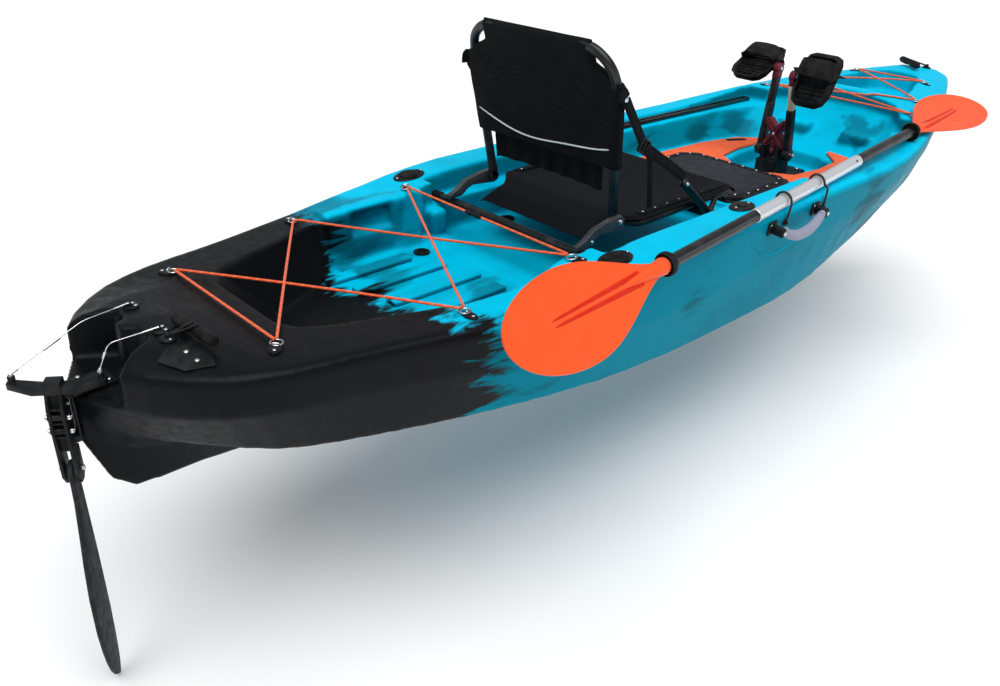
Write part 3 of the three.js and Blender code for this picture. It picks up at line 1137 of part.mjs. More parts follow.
// Side carry handles: two brackets and one grip on each side of the hull
const carry = {
  ys: { aft: -96, fore: 88 }, highShares: { aft: 0.8986, fore: 0.9159 }, foot: 14, footThick: 4,
  stand: 29, stem: 6, peg: 3.5, pegReach: 22, pegSpare: 2, eye: 8, eyeWide: 15, drop: 34, bend: 14,
  hang: 46, grip: 12, arm: 5,
};
const cornerShares = [-0.7, 0.7];
function seatBeside(s, y, z) {
  const inward = vec(-s, 0, 0);
  const reach = carry.foot;
  const probe = (j, k) => touch(vec(s * 2 * HALF_BEAM, y + j * reach, z + k * reach), inward).point;
  const [fore, aft, high, low] = ringDirections.map(([j, k]) => probe(j, k));
  const corners = cornerShares.flatMap((j) => cornerShares.map((k) => probe(j, k)));
  const point = fore.clone().add(aft).add(high).add(low).divideScalar(ringDirections.length);
  const normal = fore.clone().sub(aft).cross(high.clone().sub(low)).normalize().multiplyScalar(s);
  const samples = [fore, aft, high, low, probe(0, 0), ...corners];
  const lift = Math.max(...samples.map((p) => p.clone().sub(point).dot(normal)));
  return { point: point.addScaledVector(normal, lift + GAP), normal };
}

// One bracket and the end of the grip that hangs on it; way points from this end to the other.
function handleEnd({ point, normal }, pivot, way) {
  const { foot, footThick, stem, peg, pegReach, pegSpare, eye: eyeRadius, eyeWide } = carry;
  const onWay = (d) => pivot.clone().addScaledVector(way, d);
  const near = stem + GAP * 2;
  return {
    bracket: join(
      rod(point, point.clone().addScaledVector(normal, footThick), foot, 12),
      rod(point, pivot.clone().addScaledVector(normal, stem), stem, 10),
      rod(pivot, onWay(pegReach), peg, 10)),
    loop: rod(onWay(near), onWay(near + eyeWide), eyeRadius, 10),
    bore: rod(pivot, onWay(pegReach + pegSpare), peg + GAP, 10),
    onWay,
    near,
  };
}

// The half of the grip's line that starts at one end.
function gripLine(s, { onWay, near }) {
  const { eye: eyeRadius, eyeWide, drop, bend, hang } = carry;
  const hung = (d, fall) => onWay(d).add(vec(s * fall * 0.12, 0, -fall));
  const outer = near + eyeWide;
  const start = onWay(near + eyeWide * 0.4).add(vec(0, 0, -eyeRadius * 0.8));
  return [start, hung(outer + bend, drop * 0.62), hung(outer + hang, drop)];
}
function addCarryHandles() {
  for (const [side, s] of SIDES) {
    const ends = Object.entries(carry.ys).map(([end, y]) =>
      ({ end, seat: seatBeside(s, y, carry.highShares[end] * DEPTH) }));
    const pivots = ends.map(({ seat }) => seat.point.clone().addScaledVector(seat.normal, carry.stand));
    const way = pivots[1].clone().sub(pivots[0]).normalize();
    const [aft, fore] = ends.map(({ seat }, i) =>
      handleEnd(seat, pivots[i], way.clone().multiplyScalar(i ? -1 : 1)));
    ends.forEach(({ end }, i) =>
      piece(`handle_bracket_${end}_${side}`, [aft, fore][i].bracket, MATERIAL.blackPlastic, kayak));
    const path = [...gripLine(s, aft), ...gripLine(s, fore).reverse()];
    const padding = sweep(path.slice(1, -1), carry.grip, 8);
    const grip = join(aft.loop, fore.loop, sweep(path, carry.arm, 6), padding);
    piece(`handle_grip_${side}`, cut(grip, aft.bore, fore.bore), MATERIAL.grip, kayak);
  }
}
addCarryHandles();

// Paddle: a joined shaft laid along the starboard gunwale, with a blade at each end
const paddle = {
  reach: 2200, sleeve: 530, sleeveRadius: 16, shaft: 14.5, ringAt: 485, ringRadius: 24, ringThick: 14,
  collarWall: 3, blade: 450, wide: 200, thick: 6, plugClear: 1, x: 398, contacts: [-80, 860],
  tiltDegrees: 50, featherDegrees: -38, yawDegrees: 4.56,
};
const rightEdgeShares = [[0.1, 0], [0.22, 0.12], [0.75, 0.38], [1, 0.66], [0.86, 0.88], [0.42, 1]];
const leftEdgeShares = [[0.1, 0], [0.3, 0.14], [0.85, 0.42], [0.92, 0.66], [0.68, 0.87], [0.2, 0.985]];
const acrossShares = [-1, -0.7, -0.35, 0, 0.35, 0.7, 1];
const paddleSlope = Math.tan(radians(paddle.yawDegrees));
const paddleX = (y) => paddle.x - (y - along(alongShares.paddle)) * paddleSlope;
function paddleLine() {
  const radius = paddle.sleeveRadius;
  const [a, b] = paddle.contacts.map((y) => vec(paddleX(y), y, deckZ(paddleX(y), y) + radius));
  const steps = 24;
  let lift = 0;
  for (let i = 0; i <= steps; i++)
    for (const across of acrossShares) {
      const p = a.clone().lerp(b, i / steps);
      const under = radius * Math.sqrt(1 - across * across);
      lift = Math.max(lift, deckZ(p.x + across * radius * 0.98, p.y) + under - p.z);
    }
  const way = b.clone().sub(a).normalize();
  const reach = (along(alongShares.paddle) - a.y) / way.y;
  const middle = a.clone().addScaledVector(way, reach).add(vec(0, 0, lift + GAP * 2));
  return { middle, way };
}

// A blade, its spine, its socket on the shaft and the drip ring; t says which way it points along Y.
function paddleBlade(t, neck) {
  const { wide, blade, thick, shaft, ringAt, ringRadius, ringThick, collarWall } = paddle;
  const edge = (shares, side) => shares.map(([i, j]) => [side * i * wide * HALF, t * (neck + j * blade)]);
  const outline = [...edge(rightEdgeShares, 1), ...edge(leftEdgeShares, -1).reverse()];
  if (t < 0) outline.reverse();
  const turn = t > 0 ? radians(paddle.featherDegrees) : 0;
  const sheet = plate(outline, -thick * HALF, thick * HALF).rotateY(turn);
  const spine = rod(vec(0, t * (neck + GAP), 0), vec(0, t * (neck + blade * 0.7), 0), shaft, 10, thick * 0.6);
  const ring = lengthwise(ringRadius, ringThick, 0, t * (neck + blade - ringAt + ringThick), 0, 16);
  const collarLong = ringAt - blade;
  const collar = lengthwise(shaft + collarWall, collarLong + GAP, 0, t * (neck - collarLong * HALF), 0, 14);
  const socket = lengthwise(shaft + GAP, ringAt, 0, t * (neck - ringAt * HALF), 0, 16);
  return cut(join(sheet, spine, ring, collar), socket);
}
function addPaddle() {
  const { middle, way } = paddleLine();
  const group = new THREE.Group();
  group.position.copy(middle);
  group.quaternion.setFromUnitVectors(vec(0, 1, 0), way)
    .multiply(new THREE.Quaternion().setFromAxisAngle(vec(0, 1, 0), radians(paddle.tiltDegrees)));
  kayak.add(group);
  const inner = paddle.sleeve * HALF;
  const plug = paddle.shaft - paddle.plugClear;
  const sleeveTube = cut(lengthwise(paddle.sleeveRadius, paddle.sleeve, 0, 0, 0, 16),
    lengthwise(plug, paddle.sleeve * 2, 0, 0, 0, 16));
  piece("paddle_sleeve", sleeveTube, MATERIAL.silver, group);
  const neck = paddle.reach * HALF - paddle.blade;
  const lengthOut = neck - inner - GAP * 2;
  for (const [end, t] of [["fore", 1], ["aft", -1]]) {
    const shaft = join(
      lengthwise(paddle.shaft, lengthOut, 0, t * (inner + GAP + lengthOut * HALF), 0, 14),
      lengthwise(plug - GAP * 2, inner * HALF, 0, t * (inner * 0.75 + GAP * 2), 0));
    piece(`paddle_shaft_${end}`, shaft, MATERIAL.tube, group);
    piece(`paddle_blade_${end}`, paddleBlade(t, neck), MATERIAL.orange, group);
  }
}
addPaddle();

// Bungee ties over the paddle's sleeve, each with two deck buttons
const tie = {
  ys: { aft: -40, fore: 128 }, sideShare: 0.8986, cord: 3, clear: 2.2, outside: 1, dip: 5, button: 9,
  buttonThick: 4,
};
function addTies() {
  const { middle, way } = paddleLine();
  const reach = paddle.sleeveRadius + tie.cord + tie.clear;
  const turns = Array.from({ length: 7 }, (_, k) => Math.PI * (1 - k / 6));
  for (const [end, y] of Object.entries(tie.ys)) {
    const centre = middle.clone().addScaledVector(way, (y - middle.y) / way.y);
    const arc = turns.map((turn) =>
      vec(centre.x + reach * Math.cos(turn), centre.y, centre.z + reach * Math.sin(turn)));
    const inboard = seatOn(centre.x - reach - tie.button, centre.y, tie.button);
    const up = vec(0, 0, 1).applyQuaternion(inboard.quaternion);
    const beside = seatBeside(1, centre.y, tie.sideShare * DEPTH);
    const seats = [{ point: inboard.position, normal: up }, beside];
    const buttons = seats.map(({ point, normal }) =>
      rod(point, point.clone().addScaledVector(normal, tie.buttonThick), tie.button, 10));
    const ends = seats.map(({ point, normal }) =>
      point.clone().addScaledVector(normal, tie.buttonThick * 1.1));
    const outX = Math.max(centre.x + reach + tie.outside, beside.point.x + tie.cord + tie.clear * 2);
    const outside = vec(outX, centre.y, centre.z - tie.dip);
    const line = sweep([ends[0], ...arc, outside, ends[1]], tie.cord, 6);
    piece(`paddle_tie_${end}`, join(line, buttons), MATERIAL.fabric, kayak);
  }
}
addTies();

export default kayak;
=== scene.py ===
"""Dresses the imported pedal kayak: its finishes, its soft goods and the detail that the solids leave out."""

import logging
import math
from dataclasses import dataclass
from enum import Enum
from functools import cache
from typing import Callable, Iterable, Self, Sequence

import bmesh
import bpy
from mathutils import Matrix, Vector
from mathutils.bvhtree import BVHTree


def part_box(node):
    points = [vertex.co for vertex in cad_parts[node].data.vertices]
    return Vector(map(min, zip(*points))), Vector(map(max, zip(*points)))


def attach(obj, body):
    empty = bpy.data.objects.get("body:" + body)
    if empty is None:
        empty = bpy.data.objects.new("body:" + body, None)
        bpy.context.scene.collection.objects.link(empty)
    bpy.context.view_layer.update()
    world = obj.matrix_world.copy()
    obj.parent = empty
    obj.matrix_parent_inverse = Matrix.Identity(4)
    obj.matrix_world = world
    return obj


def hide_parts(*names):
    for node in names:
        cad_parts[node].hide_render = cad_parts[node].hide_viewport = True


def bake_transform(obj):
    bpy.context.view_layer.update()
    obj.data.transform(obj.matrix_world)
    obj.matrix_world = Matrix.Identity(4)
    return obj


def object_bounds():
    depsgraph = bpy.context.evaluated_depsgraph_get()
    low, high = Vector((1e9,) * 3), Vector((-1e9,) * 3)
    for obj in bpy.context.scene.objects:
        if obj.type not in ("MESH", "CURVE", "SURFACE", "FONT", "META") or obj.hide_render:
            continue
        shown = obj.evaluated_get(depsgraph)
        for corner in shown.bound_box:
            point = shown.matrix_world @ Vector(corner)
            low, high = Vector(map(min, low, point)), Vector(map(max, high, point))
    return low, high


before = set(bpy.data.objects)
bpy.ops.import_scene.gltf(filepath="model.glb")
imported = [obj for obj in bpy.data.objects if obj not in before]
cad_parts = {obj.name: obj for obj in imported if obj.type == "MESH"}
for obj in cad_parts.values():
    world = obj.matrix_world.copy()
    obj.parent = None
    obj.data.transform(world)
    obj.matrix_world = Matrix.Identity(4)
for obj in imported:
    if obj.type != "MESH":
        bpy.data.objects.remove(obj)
CAD_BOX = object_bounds()
log = logging.getLogger("kayak")

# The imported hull's own sizes and the heights of its flats, in metres. GAP keeps two pieces apart.
LENGTH = 3.14
HALF_BEAM = 0.422
DEPTH = 0.345
GAP = 0.0003
LEDGE = 0.817 * DEPTH
FOOT_FLOOR = 0.681 * DEPTH
PLATFORM = 0.73 * DEPTH
BOWL_FLOOR = 0.551 * DEPTH
# FACING names the vertex attribute that sets how much painted shade the hull's plastic gets.
FACING = "facing"
UP = Vector((0, 0, 1))
ACROSS = Vector((1, 0, 0))
SIDES = {"port": -1, "starboard": 1}
Profile = Sequence[tuple[float, float]]
Socket = bpy.types.NodeSocket
Value = Socket | float
Colour = Socket | str


def along(share: float) -> float:
    """Gives the Y of a share of the boat's length, counted from the stern."""
    return (share - 0.5) * LENGTH


ROD_HOLDER = (0.83 * HALF_BEAM, along(0.3185))


def turn_to(way: Vector) -> Matrix:
    """Gives the shortest turn that takes the upward axis to a direction."""
    return UP.rotation_difference(way).to_matrix().to_4x4()


def framed(axes: Sequence[Vector], place: Sequence[float]) -> Matrix:
    """Gives the frame with three axes at a place.

    Args:
        axes: its X, Y and Z.
        place: its middle.

    Returns:
        The frame.
    """
    made = Matrix(axes).transposed().to_4x4()
    made.translation = place
    return made


def linear(code: str) -> tuple[float, float, float, float]:
    """Turns a hex colour into Blender's linear colour.

    Args:
        code: six hex digits.

    Returns:
        The linear red, green, blue and alpha.
    """
    parts = [int(code[i:i + 2], 16) / 255 for i in (0, 2, 4)]
    return (*[((p + 0.055) / 1.055) ** 2.4 if p > 0.04045 else p / 12.92 for p in parts], 1.0)


def blend_value(rows: Profile, t: float) -> float:
    """Reads a value off a table of (place, value) rows with smooth steps between them.

    Args:
        rows: the table, in order of place.
        t: the place to read.

    Returns:
        The value there.
    """
    if t <= rows[0][0]:
        return rows[0][1]
    for (a, va), (b, vb) in zip(rows, rows[1:]):
        if t <= b:
            u = (t - a) / (b - a)
            return va + (vb - va) * (u + u * u * (3 - 2 * u)) / 2
    return rows[-1][1]


def rounded(points: Iterable[Sequence[float]], radius: float, steps: int = 6) -> list[Vector]:
    """Rounds the inner corners of a line of points.

    Args:
        points: the corners.
        radius: how far before a corner the curve leaves the straight line.
        steps: the number of points on each curve.

    Returns:
        The rounded line.
    """
    corners = [Vector(p) for p in points]
    line = [corners[0]]
    for before, corner, after in zip(corners, corners[1:], corners[2:]):
        reach = min(radius, (corner - before).length * 0.48, (after - corner).length * 0.48)
        a = corner + (before - corner).normalized() * reach
        b = corner + (after - corner).normalized() * reach
        for k in range(steps + 1):
            t = k / steps
            line.append(a * (1 - t) ** 2 + corner * (2 * t * (1 - t)) + b * t * t)
    return [*line, corners[-1]]


def divided(points: Sequence[Vector], step: float) -> list[Vector]:
    """Adds points along a line, so that no two are further apart than a step.

    Args:
        points: the line.
        step: the greatest distance between two points.

    Returns:
        The line with its added points.
    """
    line = [points[0]]
    for a, b in zip(points, points[1:]):
        count = max(1, math.ceil((b - a).length / step))
        line += [a.lerp(b, (k + 1) / count) for k in range(count)]
    return line


def frames_along(points: Sequence[Vector], up: Vector | None, closed: bool) -> list[Matrix]:
    """Sets a square frame on each point of a line, its Z along it and its X turning as little as it can.

    Args:
        points: the line.
        up: where X should point, or None to leave it free.
        closed: whether the line runs back to its start.

    Returns:
        One matrix for each point.
    """
    count = len(points)
    made, side, last = [], None, None
    for i, point in enumerate(points):
        before = points[i - 1] if closed or i else point
        after = points[(i + 1) % count] if closed or i + 1 < count else point
        way = (after - before).normalized()
        if up is not None:
            side = up - way * up.dot(way)
        elif side is None:
            side = way.orthogonal()
        else:
            side = last.rotation_difference(way) @ side
            side -= way * side.dot(way)
        side.normalize()
        made.append(framed((side, way.cross(side), way), point))
        last = way
    return made


class Recipe:
    """One procedural material, built node by node."""

    def __init__(self, name: str, colour: str, roughness: float, metallic: float = 0.0,
                 **sockets: float) -> None:
        """Starts a material.

        Args:
            name: the material's name.
            colour: its base colour, in hex.
            roughness: the shader's roughness.
            metallic: the shader's metallic value.
            sockets: other shader inputs, with _ for a space.
        """
        self.material = bpy.data.materials.new(name)
        self.material.use_nodes = True
        self.nodes = self.material.node_tree.nodes
        self.links = self.material.node_tree.links
        self.shader = self.nodes["Principled BSDF"]
        plain = {"Base Color": linear(colour), "Roughness": roughness, "Metallic": metallic}
        for key, value in {**plain, **{k.replace("_", " "): v for k, v in sockets.items()}}.items():
            self.shader.inputs[key].default_value = value
        self.place = self.nodes.new("ShaderNodeTexCoord").outputs["Object"]

    def node(self, kind: str, inputs: dict, **settings) -> bpy.types.Node:
        """Adds a node.

        Args:
            kind: the node's type without its ShaderNode prefix.
            inputs: sockets to link from, or values, by name or index.
            settings: the node's own properties.

        Returns:
            The new node.
        """
        made = self.nodes.new("ShaderNode" + kind)
        for key, value in settings.items():
            setattr(made, key, value)
        for key, value in inputs.items():
            if isinstance(value, Socket):
                self.links.new(value, made.inputs[key])
            else:
                made.inputs[key].default_value = value
        return made

    def moved(self, scale: Sequence[float], turn: Sequence[float] = (0, 0, 0)) -> Socket:
        """Gives the object's coordinates stretched by a scale and turned."""
        inputs = {"Vector": self.place, "Scale": scale, "Rotation": turn}
        return self.node("Mapping", inputs).outputs["Vector"]

    def noise(self, scale: float, detail: float = 4, distortion: float = 0,
              place: Socket | None = None) -> Socket:
        """Gives a noise value at a scale."""
        inputs = {"Vector": place or self.place, "Scale": scale, "Detail": detail, "Distortion": distortion}
        return self.node("TexNoise", inputs).outputs["Fac"]

    def math(self, operation: str, a: Value, b: Value = 0.5) -> Socket:
        """Joins two values by a Math node."""
        return self.node("Math", {0: a, 1: b}, operation=operation).outputs[0]

    def span(self, value: Value, low: float, high: float, to_low: float = 0.0,
             to_high: float = 1.0) -> Socket:
        """Maps a value smoothly from one range to another, and holds it at the ends."""
        inputs = {"Value": value, "From Min": low, "From Max": high, "To Min": to_low, "To Max": to_high}
        return self.node("MapRange", inputs, interpolation_type="SMOOTHSTEP").outputs["Result"]

    def mix(self, share: Value, a: Colour, b: Colour) -> Socket:
        """Mixes two colours, each a socket or a hex colour."""
        ends = [linear(c) if isinstance(c, str) else c for c in (a, b)]
        return self.node("Mix", {0: share, 6: ends[0], 7: ends[1]}, data_type="RGBA").outputs[2]

    def colour(self, socket: Socket) -> None:
        """Links a colour to the shader."""
        self.links.new(socket, self.shader.inputs["Base Color"])

    def rough(self, socket: Socket) -> None:
        """Links a roughness to the shader."""
        self.links.new(socket, self.shader.inputs["Roughness"])

    def bump(self, height: Socket, strength: float, distance: float) -> None:
        """Links a bump of a height to the shader, over any bump that is there.

        Args:
            height: the height's socket.
            strength: the bump's strength.
            distance: how high a height of 1 stands.
        """
        inputs = {"Height": height, "Strength": strength, "Distance": distance}
        normal = self.shader.inputs["Normal"]
        if normal.is_linked:
            inputs["Normal"] = normal.links[0].from_socket
        self.links.new(self.node("Bump", inputs).outputs["Normal"], normal)


@dataclass(frozen=True)
class HullPlastic:
    """Rotationally moulded plastic: turquoise that runs into black at the stern, with dark clouds in it, and
    painted shade that makes the sides and steep walls darker than the faces that look up.
    """

    slot: str = "hull_plastic"
    deck: str = "00c0e6"
    # The second colour is a darker copy of the deck colour, painted on the sides and steep walls as shade.
    painted_shade: str = "00839b"
    dark: str = "0b0c0f"
    cloud: str = "0c323c"
    stern: tuple[float, float] = (-0.93, -0.87)
    shine: tuple[float, float] = (0.02, 0.1)
    clouds: tuple[tuple[float, ...], ...] = (
        (0.406, -0.346, 0.195, 0.06), (0.406, 0.414, 0.259, 0.07), (0.15, 1.214, 0.16, 0.12),
        (-0.273, 0.555, 0.262, 0.05), (-0.244, 0.717, 0.27, 0.045), (0.076, 0.889, 0.29, 0.07),
        (-0.34, -0.88, 0.31, 0.14), (0.31, -0.98, 0.2, 0.16), (-0.2, -0.79, 0.2, 0.1),
        (0.1, -0.66, 0.2, 0.06), (0.4, 0.9, 0.2, 0.1), (-0.4, 0.3, 0.2, 0.1),
        (-0.39, -0.4, 0.22, 0.08), (0.36, 0.62, 0.14, 0.09), (0.12, 0.58, 0.22, 0.1),
    )

    def build(self) -> bpy.types.Material:
        """Builds the material. Each cloud is a place and a size.

        Returns:
            The material.
        """
        r = Recipe("hull_plastic", self.deck, 0.4, Specular_IOR_Level=self.shine[0])
        split = r.node("SeparateXYZ", {0: r.place})
        streaks = r.noise(9, 6, 0.6, r.moved((1, 0.45, 1.6), (0.5, 0.2, 0.3)))
        wisps = r.noise(34, 5, 1.2, r.moved((1, 0.3, 1.4), (0.7, 0, 0.4)))
        drift = r.math("ADD", r.math("MULTIPLY", streaks, 0.36), r.math("MULTIPLY", wisps, 0.24))
        rise = r.span(split.outputs["Z"], 0.3, 0.34, 0, 0.09)
        front = r.math("ADD", r.math("ADD", split.outputs["Y"], drift), rise)
        stern = r.span(front, self.stern[0] + 0.3, self.stern[1] + 0.3, 1, 0)
        cloud = None
        for x, y, z, size in self.clouds:
            away = r.node("VectorMath", {0: r.place, 1: (x, y, z)}, operation="DISTANCE").outputs["Value"]
            near = r.math("ADD", away, r.math("MULTIPLY", r.math("SUBTRACT", streaks, 0.5), size * 5.5))
            spot = r.span(near, size * 0.35, size * 1.25, 0.55, 0)
            cloud = spot if cloud is None else r.math("MAXIMUM", cloud, spot)
        haze = r.span(r.noise(4.2, 5, 0.5), 0.57, 0.76, 0, 0.18)
        dark = r.math("MAXIMUM", cloud, haze)
        # Painted shade: faces that look up take the deck colour, and the sides and steep walls take the
        # darker copy, by how far each vertex faces up.
        lift = r.node("Attribute", {}, attribute_name=FACING).outputs["Fac"]
        painted_lit_share = r.math("MULTIPLY", lift, r.span(r.noise(14, 4), 0.3, 0.7, 0.85, 1))
        base = r.mix(painted_lit_share, self.painted_shade, self.deck)
        r.colour(r.mix(stern, r.mix(dark, base, self.cloud), self.dark))
        r.rough(r.span(r.noise(60, 3), 0.3, 0.7, 0.34, 0.46))
        r.links.new(r.span(stern, 0, 1, *self.shine), r.shader.inputs["Specular IOR Level"])
        r.bump(r.noise(420, 3), 0.12, 0.0006)
        r.bump(r.noise(22, 3), 0.1, 0.004)
        return r.material


@dataclass(frozen=True)
class Moulded:
    """Moulded plastic, rubber or foam with a fine grain and a faint mottle."""

    slot: str
    name: str
    tint: str
    roughness: float
    grain: float = 900.0
    depth: float = 0.25
    mottle: float = 0.1
    pits: float = 0.0
    gloss: float = 0.16

    def build(self) -> bpy.types.Material:
        """Builds the material.

        Returns:
            The material.
        """
        r = Recipe(self.name, self.tint, self.roughness, Specular_IOR_Level=self.gloss)
        pale = r.mix(0.12, self.tint, "ffffff")
        r.colour(r.mix(r.span(r.noise(38, 5), 0.35, 0.75, 0, self.mottle), self.tint, pale))
        r.rough(r.span(r.noise(70, 3), 0.3, 0.7, self.roughness - 0.06, self.roughness + 0.08))
        r.bump(r.noise(self.grain, 2), self.depth, 0.0004)
        if self.pits:
            cells = r.node("TexVoronoi", {"Vector": r.place, "Scale": 520.0})
            r.bump(cells.outputs["Distance"], self.pits, 0.0006)
        return r.material


@dataclass(frozen=True)
class Metal:
    """Drawn, cast or painted metal; a drawn one has fine lines along one axis."""

    slot: str
    name: str
    tint: str
    roughness: float
    metallic: float
    lines: tuple[float, float, float] = (1.0, 1.0, 1.0)
    texture: float = 0.03
    mottle: float = 0.12

    def build(self) -> bpy.types.Material:
        """Builds the material.

        Returns:
            The material.
        """
        r = Recipe(self.name, self.tint, self.roughness, self.metallic)
        pale = r.mix(0.25, self.tint, "ffffff")
        r.colour(r.mix(r.span(r.noise(26, 5), 0.4, 0.8, 0, self.mottle), self.tint, pale))
        fine = r.noise(110, 3, 0, r.moved(self.lines))
        r.rough(r.span(fine, 0.25, 0.75, self.roughness * 0.85, self.roughness * 1.15))
        r.bump(fine, self.texture, 0.0004)
        return r.material


@dataclass(frozen=True)
class Woven:
    """Coated cloth or webbing: crossed threads with small slubs and a sheen."""

    slot: str
    name: str
    tint: str
    light: str
    pitch: float
    depth: float = 0.5

    def build(self) -> bpy.types.Material:
        """Builds the material.

        Returns:
            The material.
        """
        r = Recipe(self.name, self.tint, 0.82, Sheen_Weight=0.03, Sheen_Roughness=0.45,
                   Specular_IOR_Level=0.08)
        waves = {"Vector": r.place, "Scale": 0.32 / self.pitch, "Distortion": 0.6}
        fill, warp, deep = [r.node("TexWave", waves, bands_direction=axis).outputs["Fac"] for axis in "XZY"]
        threads = r.math("MULTIPLY", fill, r.math("MAXIMUM", warp, deep))
        worn = r.math("MULTIPLY", threads, r.span(r.noise(30, 5), 0.3, 0.8, 0.25, 1))
        r.colour(r.mix(worn, self.tint, self.light))
        r.bump(threads, self.depth, 0.0005)
        r.bump(r.noise(45, 4), 0.3, 0.003)
        return r.material


@dataclass(frozen=True)
class Sheath:
    """A braided cord cover: two slanting thread sets round the cord, with flecks of another colour."""

    slot: str
    name: str
    tint: str
    fleck: str
    turns: float = 3.0
    pitch: float = 0.006
    share: float = 0.6

    def build(self) -> bpy.types.Material:
        """Builds the material.

        Returns:
            The material.
        """
        r = Recipe(self.name, self.tint, 0.75, Sheen_Weight=0.2)
        split = r.node("SeparateXYZ", {0: r.node("UVMap", {}, uv_map="UVMap").outputs["UV"]})
        run = r.math("DIVIDE", split.outputs["Y"], self.pitch)
        around = r.math("MULTIPLY", split.outputs["X"], self.turns)
        waves = [r.math("SINE", r.math("MULTIPLY", r.math(op, run, around), math.tau))
                 for op in ("ADD", "SUBTRACT")]
        braid = r.math("MULTIPLY", *waves)
        slow = r.math("MULTIPLY", r.math("ADD", run, around), math.tau / 4)
        fleck = r.math("GREATER_THAN", r.math("SINE", slow), self.share)
        r.colour(r.mix(r.math("MULTIPLY", fleck, r.span(braid, -0.2, 0.4)), self.tint, self.fleck))
        r.bump(braid, 0.5, 0.0005)
        return r.material


class Finish(Enum):
    """Every finish of the boat."""

    HULL = HullPlastic()
    BLACK = Moulded("black_plastic", "black_plastic", "0c0d0f", 0.44)
    RUBBER = Moulded("black_plastic", "black_rubber", "0a0a0c", 0.62, 600.0, 0.4, 0.1, gloss=0.15)
    TUBE = Metal("dark_tube", "dark_tube", "0e0f11", 0.34, 0.3)
    RAIL = Metal("dark_tube", "dark_rail", "3a3937", 0.28, 0.8, (1, 0.02, 1))
    # The seat castings' paint, also used for a painted reflection: a thin strip along each paddle shaft.
    CAST_AND_SHAFT_GLINT = Metal("cast_bracket", "cast_bracket", "4c4e53", 0.42, 0.6, texture=0.3)
    CLOTH = Woven("black_fabric", "back_cloth", "070809", "1a1b1e", 0.0016, 0.7)
    PAN = Woven("black_fabric", "pan_cloth", "0b0c11", "16171e", 0.0011, 0.35)
    WEBBING = Woven("black_fabric", "webbing", "08080a", "1a1b1e", 0.0014, 0.8)
    PIPING = Moulded("black_fabric", "reflective_piping", "d9dbde", 0.5)
    STEEL = Metal("steel", "steel", "d4d7da", 0.2, 1.0)
    SILVER = Metal("silver_tube", "silver_tube", "e2e5e9", 0.34, 0.7, (1, 0.02, 1), 0.006)
    CREAM = Metal("silver_tube", "cream_metal", "dfd9b8", 0.35, 0.35)
    ORANGE = Moulded("paddle_plastic", "paddle_plastic", "f2541c", 0.36, 500.0, 0.04, 0.06, gloss=0.3)
    GROOVE = Moulded("paddle_plastic", "paddle_groove", "cf2506", 0.38, 500.0, 0.08, 0.06)
    BUNGEE = Sheath("bungee", "bungee", "f05a22", "f0a070", share=0.8)
    TIE = Sheath("black_fabric", "black_cord", "0d0e10", "2c2e33")
    FOAM = Moulded("foam", "foam", "f2663a", 0.85, 700.0, 0.4, 0.3, 0.5)
    METAL_RED = Metal("drive_metal", "drive_metal", "6e1a2c", 0.36, 0.45, texture=0.2)
    PANEL = Moulded("dark_panel", "dark_panel", "24262c", 0.6, 520.0, 0.5)
    BLADE = Moulded("dark_panel", "rudder_blade", "1a1b1f", 0.55, 300.0, 0.3, 0.2)
    GRIP = Moulded("grip_plastic", "grip_plastic", "8d90a3", 0.42, 700.0, 0.15)


@cache
def material(finish: Finish) -> bpy.types.Material:
    """Builds a finish's material once."""
    return finish.value.build()


def stood(name: str, data: bpy.types.ID) -> bpy.types.Object:
    """Makes an object of a mesh, a camera or a lamp and links it to the scene."""
    made = bpy.data.objects.new(name, data)
    bpy.context.scene.collection.objects.link(made)
    return made


def settled(made: bpy.types.Object) -> bpy.types.Mesh:
    """Gives an object's mesh with its modifiers worked in."""
    graph = bpy.context.evaluated_depsgraph_get()
    return bpy.data.meshes.new_from_object(made.evaluated_get(graph))


def note_facing(mesh: bpy.types.Mesh) -> None:
    """Writes how far each vertex faces up, which the hull's plastic reads for its painted shade on the sides
    and steep walls.

    Args:
        mesh: the mesh that gets the attribute.
    """
    layer = mesh.attributes.get(FACING) or mesh.attributes.new(FACING, "FLOAT", "POINT")
    for value, vert in zip(layer.data, mesh.vertices):
        value.value = min(1.0, max(0.0, vert.normal.z * 1.3 - 0.05))


